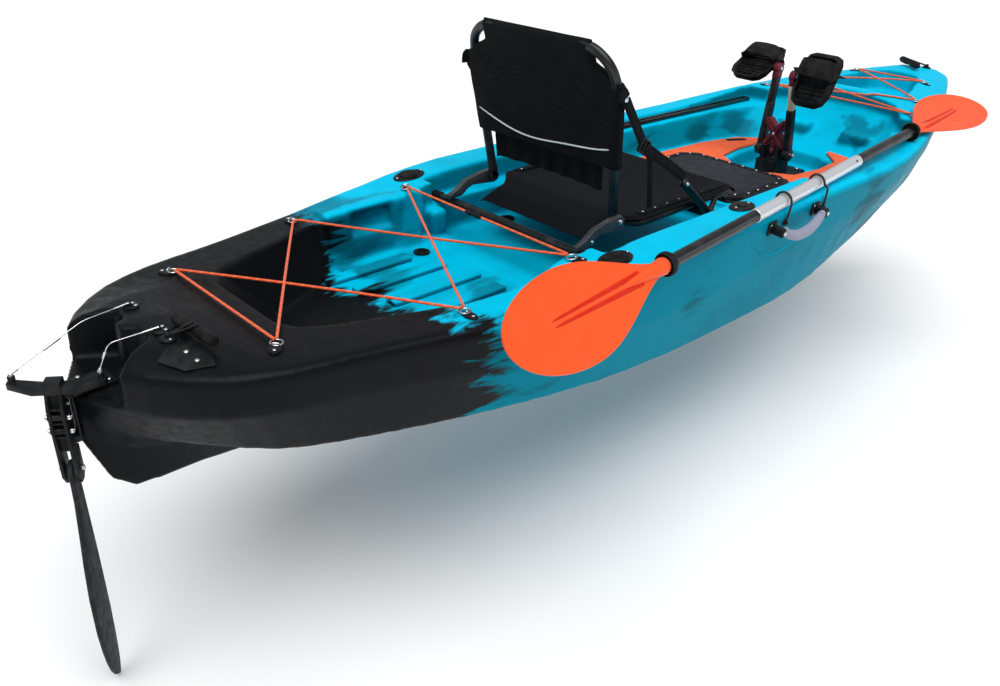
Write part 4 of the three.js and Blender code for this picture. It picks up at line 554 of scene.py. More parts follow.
class Shape:
    """A mesh being worked with bmesh operators. New faces take the finish that was last chosen."""

    def __init__(self, *finishes: Finish) -> None:
        """Starts an empty shape.

        Args:
            finishes: the finishes that its faces may have, the main one first.
        """
        self.bm = bmesh.new()
        self.finishes = finishes
        self.done = self.bm.faces.layers.int.new("done")
        self.around = self.bm.verts.layers.float.new("around")
        self.run = self.bm.verts.layers.float.new("run")
        self.current = 0

    def use(self, finish: Finish) -> Self:
        """Chooses the finish of the faces that come next.

        Args:
            finish: one of the shape's finishes.

        Returns:
            The shape.
        """
        self._dress()
        self.current = self.finishes.index(finish)
        return self

    def _dress(self) -> None:
        """Gives the current finish to the faces that have none yet."""
        for face in self.bm.faces:
            if not face[self.done]:
                face.material_index = self.current
                face[self.done] = 1

    def _outwards(self) -> None:
        """Turns the new faces outwards."""
        faces = [f for f in self.bm.faces if not f[self.done]]
        bmesh.ops.recalc_face_normals(self.bm, faces=faces)

    def bevel(self, width: float, segments: int = 2, angle: float = 30.0,
              verts: Iterable | None = None) -> Self:
        """Rounds the edges that are sharper than an angle.

        Args:
            width: the bevel's width.
            segments: its steps.
            angle: the least angle of an edge, in degrees.
            verts: only the edges between these, or None for all.

        Returns:
            The shape.
        """
        self._dress()
        chosen = None if verts is None else set(verts)
        edges = [
            e for e in self.bm.edges
            if len(e.link_faces) == 2 and abs(e.calc_face_angle(0)) > math.radians(angle)
            and (chosen is None or (e.verts[0] in chosen and e.verts[1] in chosen))
        ]
        bmesh.ops.bevel(self.bm, geom=edges, offset=width, offset_type="OFFSET", segments=segments,
                        profile=0.5, affect="EDGES", material=-1, clamp_overlap=True)
        return self

    def box(self, low: Sequence[float], high: Sequence[float], bevel: float = 0.0,
            place: Matrix | None = None, segments: int = 2) -> None:
        """Adds a box between two corners, with round edges.

        Args:
            low: its lowest corner.
            high: its highest corner.
            bevel: the round of its edges, or 0.
            place: the frame that the corners are in, or None for the boat's.
            segments: the steps of the round.
        """
        a, b = Vector(low), Vector(high)
        stretch = Matrix.Diagonal((*(b - a), 1))
        matrix = (place or Matrix.Identity(4)) @ Matrix.Translation((a + b) / 2) @ stretch
        verts = bmesh.ops.create_cube(self.bm, size=1, matrix=matrix)["verts"]
        if bevel:
            self.bevel(bevel, segments, 30, verts)
        self._dress()

    def rod(self, a: Sequence[float], b: Sequence[float], radius: float, end: float | None = None,
            sides: int = 28, bevel: float = 0.0) -> None:
        """Adds a round rod or cone between two points.

        Args:
            a: the middle of its first face.
            b: the middle of its last face.
            radius: its radius.
            end: its radius at the last face, or None for the same.
            sides: its corners.
            bevel: the round of its end edges, or 0.
        """
        start, stop = Vector(a), Vector(b)
        span = stop - start
        matrix = Matrix.Translation((start + stop) / 2) @ turn_to(span.normalized())
        last = radius if end is None else end
        verts = bmesh.ops.create_cone(self.bm, cap_ends=True, cap_tris=False, segments=sides, radius1=radius,
                                      radius2=last, depth=span.length, matrix=matrix)["verts"]
        if bevel:
            self.bevel(bevel, 3, 40, verts)
        self._dress()

    def ball(self, centre: Sequence[float], radius: float, squash: float = 1.0,
             facing: Vector = UP) -> None:
        """Adds a round or flattened ball.

        Args:
            centre: its middle.
            radius: its radius.
            squash: its height as a share of its width.
            facing: the axis that it is flattened along.
        """
        matrix = Matrix.Translation(centre) @ turn_to(facing) @ Matrix.Diagonal((1, 1, squash, 1))
        bmesh.ops.create_uvsphere(self.bm, u_segments=20, v_segments=12, radius=radius, matrix=matrix)
        self._dress()

    def screw(self, point: Sequence[float], facing: Sequence[float], radius: float = 0.0042) -> None:
        """Adds a domed screw head with a raised cross.

        Args:
            point: where its middle touches the piece.
            facing: the way that it points out.
            radius: its radius.
        """
        way = Vector(facing).normalized()
        base = Vector(point)
        self.rod(base - way * radius * 0.3, base + way * radius * 0.3, radius, sides=20)
        self.ball(base + way * radius * 0.3, radius * 0.94, 0.42, way)
        side = way.orthogonal().normalized()
        for arm in (side, way.cross(side)):
            matrix = framed((arm, way.cross(arm), way), base + way * radius * 0.68)
            self.box((-radius * 0.55, -radius * 0.09, -radius * 0.05),
                     (radius * 0.55, radius * 0.09, radius * 0.05), 0, matrix)

    def lathe(self, profile: Profile, place: Matrix, steps: int = 36) -> Self:
        """Turns a line of (radius, height) points full round the local Z.

        Args:
            profile: the line.
            place: the frame that it is turned in.
            steps: the steps of the full turn.

        Returns:
            The shape.
        """
        verts = [self.bm.verts.new((r, 0, z)) for r, z in profile]
        edges = [self.bm.edges.new(pair) for pair in zip(verts, verts[1:])]
        known = set(self.bm.verts) - set(verts)
        bmesh.ops.spin(self.bm, geom=[*verts, *edges], cent=(0, 0, 0), axis=(0, 0, 1), angle=math.tau,
                       steps=steps, use_merge=True, use_duplicate=False)
        fresh = [v for v in self.bm.verts if v not in known]
        bmesh.ops.remove_doubles(self.bm, verts=fresh, dist=1e-6)
        fresh = [v for v in self.bm.verts if v not in known]
        bmesh.ops.transform(self.bm, matrix=place, verts=fresh)
        self._outwards()
        self._dress()
        return self

    def ring(self, place: Matrix, radius: float, wire: float, steps: int = 36, sides: int = 12) -> None:
        """Adds a closed ring of wire that lies in the local XY plane.

        Args:
            place: the ring's frame.
            radius: the ring's radius.
            wire: the wire's radius.
            steps: the ring's corners.
            sides: the wire's corners.
        """
        around = [place @ Vector((radius * math.cos(t * math.tau / steps),
                                  radius * math.sin(t * math.tau / steps), 0))
                  for t in range(steps)]
        self.tube(around, wire, sides, closed=True)

    def tube(self, points: Sequence[Vector], radius: float | Sequence[float], sides: int = 14,
             closed: bool = False, flat: float = 1.0, up: Vector | None = None) -> Self:
        """Sweeps a round or flattened section along a line, and keeps its run and turn for the cord covers.

        Args:
            points: the line.
            radius: the section's radius, or one for each point.
            sides: the section's corners.
            closed: whether the line runs back to its start.
            flat: the section's thickness as a share of its width.
            up: where the section's broad side points, or None.

        Returns:
            The shape.
        """
        size = [radius] * len(points) if isinstance(radius, (int, float)) else list(radius)
        frames = [at @ Matrix.Diagonal((s * flat, s, 1, 1))
                  for at, s in zip(frames_along(points, up, closed), size)]
        ring = bmesh.ops.create_circle(self.bm, cap_ends=False, segments=sides, radius=1,
                                       matrix=frames[0])["verts"]
        for k, vert in enumerate(ring):
            vert[self.around] = k / sides
            vert[self.run] = 0.0
        first, distance = ring, 0.0
        for k in range(1, len(points)):
            ring = self.grow(ring)
            bmesh.ops.transform(self.bm, matrix=frames[k] @ frames[k - 1].inverted(), verts=ring)
            distance += (points[k] - points[k - 1]).length
            for vert in ring:
                vert[self.run] = distance
        if closed:
            bmesh.ops.bridge_loops(self.bm, edges=[*self.rim(first), *self.rim(ring)])
        else:
            for end in (first, ring):
                bmesh.ops.holes_fill(self.bm, edges=self.rim(end), sides=0)
        self._outwards()
        self._dress()
        return self

    def rim(self, ring: Iterable[bmesh.types.BMVert]) -> list[bmesh.types.BMEdge]:
        """Gives the edges that join a ring's vertices."""
        group = set(ring)
        return list({e for v in group for e in v.link_edges if e.other_vert(v) in group})

    def grow(self, ring: Iterable[bmesh.types.BMVert]) -> list[bmesh.types.BMVert]:
        """Extrudes a ring's edges and gives the new ring."""
        grown = bmesh.ops.extrude_edge_only(self.bm, edges=self.rim(ring))["geom"]
        return [g for g in grown if isinstance(g, bmesh.types.BMVert)]

    def slab(self, outline: Profile, place: Matrix, thick: float, bevel: float = 0.0,
             segments: int = 2) -> None:
        """Adds a plate of an outline in the local XY plane, thickened along Z, with round edges.

        Args:
            outline: the outline's corners.
            place: the plate's frame.
            thick: its thickness.
            bevel: the round of its edges, or 0.
            segments: the steps of the round.
        """
        verts = [self.bm.verts.new((x, y, 0)) for x, y in outline]
        face = bmesh.ops.contextual_create(self.bm, geom=verts)["faces"]
        grown = bmesh.ops.extrude_face_region(self.bm, geom=face)["geom"]
        top = [g for g in grown if isinstance(g, bmesh.types.BMVert)]
        bmesh.ops.translate(self.bm, verts=top, vec=(0, 0, thick))
        everything = [*verts, *top]
        self._outwards()
        bmesh.ops.transform(self.bm, matrix=place, verts=everything)
        if bevel:
            self.bevel(bevel, segments, 50, everything)
        self._dress()

    def copy_of(self, node: str) -> Self:
        """Adds a merged copy of a CAD node's mesh, its flat faces whole again.

        Args:
            node: the node's name.

        Returns:
            The shape.
        """
        mesh = bpy.data.meshes.new_from_object(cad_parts[node])
        self.bm.from_mesh(mesh)
        self.done = self.bm.faces.layers.int.get("done") or self.bm.faces.layers.int.new("done")
        bpy.data.meshes.remove(mesh)
        bmesh.ops.remove_doubles(self.bm, verts=self.bm.verts[:], dist=2e-6)
        bmesh.ops.dissolve_limit(self.bm, angle_limit=math.radians(0.6), verts=self.bm.verts[:],
                                 edges=self.bm.edges[:])
        for face in self.bm.faces:
            face[self.done] = 0
        self._dress()
        return self

    def move(self, change: Callable[[Vector], Vector]) -> None:
        """Moves every vertex by a rule.

        Args:
            change: gives a vertex's new place from its old one.
        """
        for vert in self.bm.verts:
            vert.co = change(vert.co)

    def _wrap(self) -> None:
        """Writes each face's turn and run to the UV map."""
        layer = self.bm.loops.layers.uv.new("UVMap")
        for face in self.bm.faces:
            turns = [loop.vert[self.around] for loop in face.loops]
            wraps = max(turns) - min(turns) > 0.5
            for loop, turn in zip(face.loops, turns):
                loop[layer].uv = (turn + 1 if wraps and turn < 0.5 else turn, loop.vert[self.run])

    def piece(self, name: str, body: str | None, *replaced: str, sharp: float = 38.0,
              slot: str | None = None) -> bpy.types.Object:
        """Makes the shape an object that rides on a body.

        Args:
            name: the piece's name.
            body: the body that it rides on, or None for a piece that blends.
            replaced: the CAD nodes that it stands for.
            sharp: the angle past which an edge stays sharp in the shading.
            slot: the record's material slot, or None for the main finish's own; not used.

        Returns:
            The piece.
        """
        self._dress()
        self._wrap()
        mesh = bpy.data.meshes.new(name)
        self.bm.to_mesh(mesh)
        self.bm.free()
        mesh.polygons.foreach_set("use_smooth", [True] * len(mesh.polygons))
        mesh.set_sharp_from_angle(angle=math.radians(sharp))
        for layer in ("done", "around", "run", "order"):
            if layer in mesh.attributes:
                mesh.attributes.remove(mesh.attributes[layer])
        if Finish.HULL in self.finishes:
            note_facing(mesh)
        made = stood(name, mesh)
        for finish in self.finishes:
            mesh.materials.append(material(finish))
        if body is not None:
            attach(made, body)
        if replaced:
            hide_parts(*replaced)
        log.info("%s: %d faces", name, len(mesh.polygons))
        return made


class HullSurface:
    """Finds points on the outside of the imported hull."""

    def __init__(self) -> None:
        """Reads the hull's solid."""
        solid = bmesh.new()
        solid.from_mesh(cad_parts["hull"].data)
        self.tree = BVHTree.FromBMesh(solid)
        solid.free()

    def touch(self, start: Sequence[float], way: Sequence[float]) -> Vector:
        """Gives where a ray first meets the hull, or its start if it misses."""
        hit = self.tree.ray_cast(Vector(start), Vector(way))[0]
        return hit if hit is not None else Vector(start)

    def deck(self, x: float, y: float) -> Vector:
        """Gives the point of the deck under a place."""
        return self.touch((x, y, 2 * DEPTH), (0, 0, -1))

    def seat(self, x: float, y: float, reach: float, turn: float = 0.0) -> Matrix:
        """Gives a frame that stands square on the deck and just clear of it.

        Args:
            x: its place across.
            y: its place along.
            reach: how far round it the deck is felt.
            turn: its turn about the deck's normal.

        Returns:
            The frame.
        """
        east, west, north, south = [
            self.deck(x + i * reach, y + j * reach) for i, j in ((1, 0), (-1, 0), (0, 1), (0, -1))]
        point = (east + west + north + south) / 4
        normal = (east - west).cross(north - south).normalized()
        lift = max(0, *[(p - point).dot(normal) for p in (east, west, north, south, self.deck(x, y))])
        turned = turn_to(normal) @ Matrix.Rotation(turn, 4, "Z")
        return Matrix.Translation(point + normal * (lift + GAP)) @ turned


@dataclass
class PhotoCamera:
    """The camera at the photograph's place."""

    place: tuple[float, float, float] = (1.4932, -1.9561, 1.096)
    yaw: float = 47.016
    pitch: float = -28.395
    roll: float = 1.324
    focal: float = 929.95
    width: float = 1000.0

    def build(self) -> None:
        """Adds the camera and makes it the scene's."""
        data = bpy.data.cameras.new("photo_camera")
        data.sensor_width = 36.0
        data.lens = self.focal / self.width * data.sensor_width
        data.clip_end = 100.0
        camera = stood("photo_camera", data)
        yaw, pitch, roll = (math.radians(a) for a in (self.yaw, self.pitch, self.roll))
        way = Vector((-math.sin(yaw) * math.cos(pitch), math.cos(yaw) * math.cos(pitch), math.sin(pitch)))
        right = way.cross(UP).normalized()
        above = right.cross(way)
        level = right * math.cos(roll) + above * math.sin(roll)
        top = above * math.cos(roll) - right * math.sin(roll)
        camera.matrix_world = framed((level, top, -way), self.place)
        bpy.context.scene.camera = camera


@dataclass
class Studio:
    """A pale floor under soft light."""

    floor_gap: float = 0.004
    floor_size: float = 60.0
    sky: float = 0.48
    sky_colour: tuple[float, ...] = (0.97, 0.98, 1.0, 1.0)
    sun: float = 2.5
    sun_angle: float = 55.0
    sun_place: tuple[float, float, float] = (0.7, -0.5, 2.4)

    def build(self) -> None:
        """Adds the floor, the sky and the lamps."""
        floor = bmesh.new()
        low = CAD_BOX[0].z - self.floor_gap
        bmesh.ops.create_grid(floor, x_segments=1, y_segments=1, size=self.floor_size,
                              matrix=Matrix.Translation((0, 0, low)))
        mesh = bpy.data.meshes.new("floor")
        floor.to_mesh(mesh)
        floor.free()
        ground = stood("floor", mesh)
        r = Recipe("studio_floor", "f7f7f7", 0.9)
        r.colour(r.mix(r.span(r.noise(0.6, 2), 0.3, 0.7), "f6f6f6", "f9f9f9"))
        mesh.materials.append(r.material)
        world = bpy.data.worlds.new("studio_sky")
        world.use_nodes = True
        sky = world.node_tree.nodes["Background"]
        sky.inputs["Color"].default_value = self.sky_colour
        sky.inputs["Strength"].default_value = self.sky
        bpy.context.scene.world = world
        data = bpy.data.lights.new("key", "SUN")
        data.energy, data.angle = self.sun, math.radians(self.sun_angle)
        lamp = stood("key", data)
        lamp.matrix_world = Vector(self.sun_place).to_track_quat("Z", "Y").to_matrix().to_4x4()
        bpy.context.scene.view_settings.view_transform = "Standard"


@dataclass
class Hull:
    """The moulded hull's skin, with its ribs, steps and moulded lines."""

    surface: HullSurface
    voxel: float = 0.0062
    drain: tuple[float, float] = (-1.1932, 0.2484)
    tube_reach: float = 0.034
    drain_reach: float = 0.0104
    ribs: tuple[tuple[float, float, float], ...] = (
        (-0.19, -0.935, -0.7), (-0.106, -0.91, -0.66), (-0.01, -0.885, -0.635),
        (0.08, -0.88, -0.64), (0.165, -0.93, -0.66),
    )
    rib_half: float = 0.019
    tank_floor: float = 0.197
    pocket: tuple[tuple[float, ...], ...] = (
        (-0.885, -0.815, 0.2, 0.33), (-0.7, -0.665, 0.2, 0.33),
        (-0.83, -0.69, 0.2, 0.262), (-0.83, -0.69, 0.316, 0.332),
    )
    most_faces: int = 185000
    fold: float = -0.75
    room_ends: tuple[float, float] = (along(0.062), along(0.968))

    def build(self) -> None:
        """Builds the skin and the lines on it."""
        self._skin()
        self._side_lines()
        self._stern_plate()
        self._tank_ribs()
        self._scuppers()

    def _tank_ribs(self) -> None:
        """Adds the five moulded ribs of the tank well's floor."""
        ribs = Shape(Finish.HULL)
        for x, low, high in self.ribs:
            ribs.box((x - self.rib_half, low, self.tank_floor - 0.003),
                     (x + self.rib_half, high, self.tank_floor + 0.0095), 0.0045, segments=4)
        ribs.piece("tank_ribs", "kayak", sharp=60)

    def _outside(self) -> Shape:
        """Gives the solid's outer surface, without the drain hole, the rod-holder tubes and the air space.

        Returns:
            The closed outer surface, in triangles.
        """
        shape = Shape(Finish.HULL).copy_of("hull")
        bm = shape.bm
        y, z = self.drain
        walls = []
        for face in bm.faces:
            middle = face.calc_center_median()
            off = math.hypot(middle.y - y, middle.z - z)
            in_drain = middle.x < -0.25 and off < self.drain_reach and abs(face.normal.x) < 0.2
            off = math.hypot(abs(middle.x) - ROD_HOLDER[0], middle.y - ROD_HOLDER[1])
            in_tube = off < self.tube_reach and abs(face.normal.z) < 0.35 and middle.z > 0.2
            in_cap = abs(face.normal.y) > 0.99 and min(abs(middle.y - end) for end in self.room_ends) < 0.001
            if in_drain or in_tube or in_cap:
                walls.append(face)
        bmesh.ops.delete(bm, geom=walls, context="FACES")
        left, groups = set(bm.faces), []
        while left:
            todo = [left.pop()]
            group = []
            while todo:
                face = todo.pop()
                group.append(face)
                for other in {f for edge in face.edges for f in edge.link_faces} & left:
                    if other.normal.dot(face.normal) > self.fold:
                        left.discard(other)
                        todo.append(other)
            groups.append(group)
        groups.sort(key=len)
        outer = max(groups, key=lambda g: max(v.co.z for f in g for v in f.verts))
        bmesh.ops.delete(bm, geom=[f for g in groups if g is not outer for f in g], context="FACES")
        bmesh.ops.holes_fill(bm, edges=[e for e in bm.edges if e.is_boundary], sides=0)
        bmesh.ops.triangulate(bm, faces=bm.faces[:])
        return shape

    def _mouldings(self, shape: Shape) -> None:
        """Adds the raised forms that melt into the skin.

        Args:
            shape: the hull's outer surface.
        """
        for s in (-1, 1):
            shape.box((s * 0.262 - 0.03, -0.585, 0.21), (s * 0.262 + 0.03, -0.535, 0.275), 0.012)
            shape.box((s * 0.115 - 0.06, 0.845, 0.236), (s * 0.115 + 0.06, 0.93, 0.3), 0.018)
            shape.box((s * 0.315 - 0.012, 0.36, 0.235), (s * 0.315 + 0.012, 0.47, 0.3), 0.012)

    def _pocket(self, shape: Shape) -> None:
        """Adds the raised frame on the tank's port wall, with its oval pocket left open.

        Args:
            shape: the hull's outer surface.
        """
        for y0, y1, z0, z1 in self.pocket:
            shape.box((-0.315, y0, z0), (-0.25, y1, z1), 0.008)

    def _skin(self) -> None:
        """Remeshes the outer surface, so that each edge has the soft round of moulded plastic."""
        shape = self._outside()
        self._mouldings(shape)
        self._pocket(shape)
        mesh = bpy.data.meshes.new("hull_rough")
        shape.bm.to_mesh(mesh)
        shape.bm.free()
        rough = stood("hull_rough", mesh)
        remesh = rough.modifiers.new("remesh", "REMESH")
        remesh.mode, remesh.voxel_size = "VOXEL", self.voxel
        smooth = rough.modifiers.new("smooth", "SMOOTH")
        smooth.factor, smooth.iterations = 0.5, 4
        skin = Shape(Finish.HULL)
        skin.bm.from_mesh(settled(rough))
        bpy.data.objects.remove(rough)
        skin.done = skin.bm.faces.layers.int.get("done") or skin.bm.faces.layers.int.new("done")
        made = skin.piece("hull_skin", "kayak", "hull", sharp=180)
        count = sum(len(p.vertices) - 2 for p in made.data.polygons)
        if count > self.most_faces:
            thin = made.modifiers.new("thin", "DECIMATE")
            thin.ratio = self.most_faces / count
            lighter = settled(made)
            made.modifiers.clear()
            made.data = lighter
            lighter.name = "hull_skin"
            note_facing(lighter)
        log.info("hull_skin: %d faces from %d", len(made.data.polygons), count)

    def _on_side(self, s: int, y: float, z: float) -> Vector:
        """Gives the point of the hull's side at a height."""
        return self.surface.touch((s * 1.0, y, z), (-s, 0, 0))

    def _side_lines(self) -> None:
        """Adds the moulded loop under each handle."""
        for side, s in SIDES.items():
            loop = [(-0.13, 0.262), (-0.1, 0.235), (-0.05, 0.226), (0.02, 0.232), (0.07, 0.246),
                    (0.11, 0.268), (0.125, 0.295)]
            points = divided(rounded([self._on_side(s, y, z) for y, z in loop], 0.03), 0.01)
            lines = Shape(Finish.HULL).tube([self._on_side(s, p.y, p.z) for p in points], 0.0022, 8)
            lines.piece(f"handle_outline_{side}", "kayak")

    def _stern_plate(self) -> None:
        """Adds the five-cornered cover plate with its two screws on the stern's starboard deck."""
        corners = [(0.142, -1.466), (0.115, -1.433), (0.125, -1.396), (0.168, -1.385), (0.206, -1.394),
                   (0.19, -1.44)]
        cover = Shape(Finish.BLACK, Finish.STEEL)
        seat = self.surface.seat(0.162, -1.424, 0.03)
        outline = [tuple((seat.inverted() @ Vector((x, y, seat.translation.z)))[:2]) for x, y in corners]
        cover.slab(outline, seat @ Matrix.Translation((0, 0, -0.0006)), 0.0032, 0.0012)
        cover.use(Finish.STEEL)
        for x, y in ((0.148, -1.417), (0.178, -1.413)):
            point = self.surface.deck(x, y) + UP * 0.003
            cover.screw(point, seat.to_3x3() @ UP, 0.0045)
        cover.piece("stern_cover_plate", "kayak")

    def _scuppers(self) -> None:
        """Adds a dark grille in each scupper."""
        grating = [(0.0145, -0.02), (0.0145, -0.002), (0.021, -0.0005), (0.0205, 0.001), (0.012, 0.0006),
                   (0.011, -0.004), (0.0, -0.004)]
        for end, share_x, share_y, floor in (("aft", 0.474, 0.293, self.tank_floor),
                                             ("fore", 0.535, 0.392, 0.203)):
            for side, s in SIDES.items():
                place = Matrix.Translation((s * share_x * HALF_BEAM, along(share_y), floor))
                grille = Shape(Finish.RUBBER).lathe(grating, place)
                grille.piece(f"scupper_plug_{side}_{end}", "kayak")


@dataclass
class Eyes:
    """A pad eye: an oval foot with one screw and a flat ring."""

    length: float = 0.020
    width: float = 0.012
    thick: float = 0.004
    ring: float = 0.011
    wire: float = 0.0018

    def shape(self, place: Matrix, size: float) -> Shape:
        """Builds one eye at a place on the deck.

        Args:
            place: the frame of its foot.
            size: its scale.

        Returns:
            The eye's shape.
        """
        eye = Shape(Finish.STEEL, Finish.BLACK).use(Finish.BLACK)
        foot = place @ Matrix.Diagonal((self.width * size, self.length * size, size, 1))
        eye.lathe([(0, 0), (1, 0), (1, 0.0022), (0.86, 0.0036), (0.5, 0.004), (0, 0.004)], foot)
        eye.use(Finish.STEEL)
        up = place.to_3x3() @ UP
        eye.screw(place @ Vector((0, -self.length * 0.55 * size, self.thick * size)), up, 0.0036 * size)
        flat = place @ Matrix.Translation((0, self.ring * 1.2 * size, (self.thick + self.wire * 0.9) * size))
        eye.ring(flat, self.ring * size, self.wire * size)
        a, b = [place @ Vector((x * size, self.wire * 1.6 * size, (self.thick + self.wire * 0.2) * size))
                for x in (-self.width * 0.5, self.width * 0.5)]
        crown = (a + b) / 2 + up * self.wire * 3.2 * size
        rise = crown - (a + b) / 2
        eye.tube(divided(rounded([a, a + rise, b + rise, b], 0.003), 0.002), self.wire * 0.9 * size, 10)
        return eye

    def middle(self, place: Matrix, size: float) -> Vector:
        """Gives the middle of the eye's ring."""
        return place @ Vector((0, self.ring * 1.2 * size, (self.thick + self.wire * 3) * size))


@dataclass
class Lashings:
    """The two orange bungees and the eyes that hold them."""

    surface: HullSurface
    eyes: Eyes
    radius: float = 0.0028
    over: float = 0.0034
    under: float = -0.0024
    steps: int = 24
    stern_shares: tuple[float, ...] = (0.0904, 0.201, 0.3016)
    stern_widths: tuple[float, ...] = (0.495, 0.751, 0.697)
    bow_shares: tuple[float, ...] = (0.786, 0.828, 0.895)
    bow_widths: tuple[float, ...] = (0.64, 0.5, 0.31)
    bow_size: float = 0.8

    def build(self) -> None:
        """Builds both lashings."""
        centre = along(self.stern_shares[1])
        middles = []
        for row, side, x, y in self._spots(self.stern_shares, self.stern_widths):
            place = self._place(x, y, (centre + y) / 2, 1.0)
            self.eyes.shape(place, 1.0).piece(f"stern_eye_{row}_{side}", "kayak", f"rear_eye_{row}_{side}")
            middles.append(self.eyes.middle(place, 1.0))
        self._cord("stern_bungee", "rear_bungee", middles, (0, 1, 2, 5, 4, 3), 3, 0.55)
        middles = []
        for row, side, x, y in self._spots(self.bow_shares, self.bow_widths):
            place = self._place(x, y, y, self.bow_size)
            self.eyes.shape(place, self.bow_size).piece(f"bow_eye_{row}_{side}", "kayak")
            middles.append(self.eyes.middle(place, self.bow_size))
        self._cord("bow_bungee", "bow_lashing", middles, (5, 4, 3, 0, 1, 2), 3, 0.4)

    def _spots(self, shares: Sequence[float], widths: Sequence[float]) -> list[tuple[str, str, float, float]]:
        """Gives each eye's row, side, X and Y from the rows' shares of the length and of the half beam."""
        return [(row, side, s * width * HALF_BEAM, along(share))
                for row, share, width in zip(("aft", "middle", "forward"), shares, widths)
                for side, s in SIDES.items()]

    def _place(self, x: float, y: float, facing_y: float, size: float) -> Matrix:
        """Gives the frame of an eye whose ring faces a point on the boat's middle line."""
        turn = math.atan2(-x, y - facing_y) + math.pi
        return self.surface.seat(x, y, self.eyes.length * size, turn)

    def _cord(self, name: str, node: str, middles: Sequence[Vector], order: Sequence[int], hook_run: int,
              share: float) -> None:
        """Laces a cord round the eyes, over and under itself, with a moulded hook in one run.

        Args:
            name: the piece's name.
            node: the CAD node that it stands for.
            middles: the middles of the eyes' rings.
            order: the eyes in the order of the lacing.
            hook_run: the run that has the hook.
            share: how far along that run the hook sits.
        """
        corners = [middles[k] for k in order]
        line: list[Vector] = []
        hook: tuple[Vector, Vector] | None = None
        for i, a in enumerate(corners):
            b = corners[(i + 1) % len(corners)]
            crosses = abs(a.y - b.y) > 0.05
            hump = (self.over if i % 2 else self.under) if crosses else 0.0
            for k in range(self.steps):
                t = (k + 0.5) / self.steps
                point = a.lerp(b, t) + UP * hump * math.sin(math.pi * t)
                floor = self.surface.deck(point.x, point.y).z + self.radius * 1.25
                if abs(t - 0.5) < 0.44 and point.z < floor:
                    point.z = floor
                line.append(point)
            if i == hook_run:
                hook = (a.lerp(b, share), (b - a).normalized())
        cord = Shape(Finish.BUNGEE, Finish.BLACK, Finish.STEEL)
        cord.tube(line, self.radius, 12, closed=True)
        cord.use(Finish.BLACK)
        middle, way = hook
        cord.lathe([(0.0, -0.028), (0.0034, -0.027), (0.0052, -0.02), (0.0058, -0.008), (0.0044, -0.004),
                    (0.0044, 0.004), (0.0058, 0.008), (0.0052, 0.02), (0.0034, 0.027), (0.0, 0.028)],
                   Matrix.Translation(middle) @ turn_to(way), 20)
        cord.piece(name, "kayak", node, sharp=60)


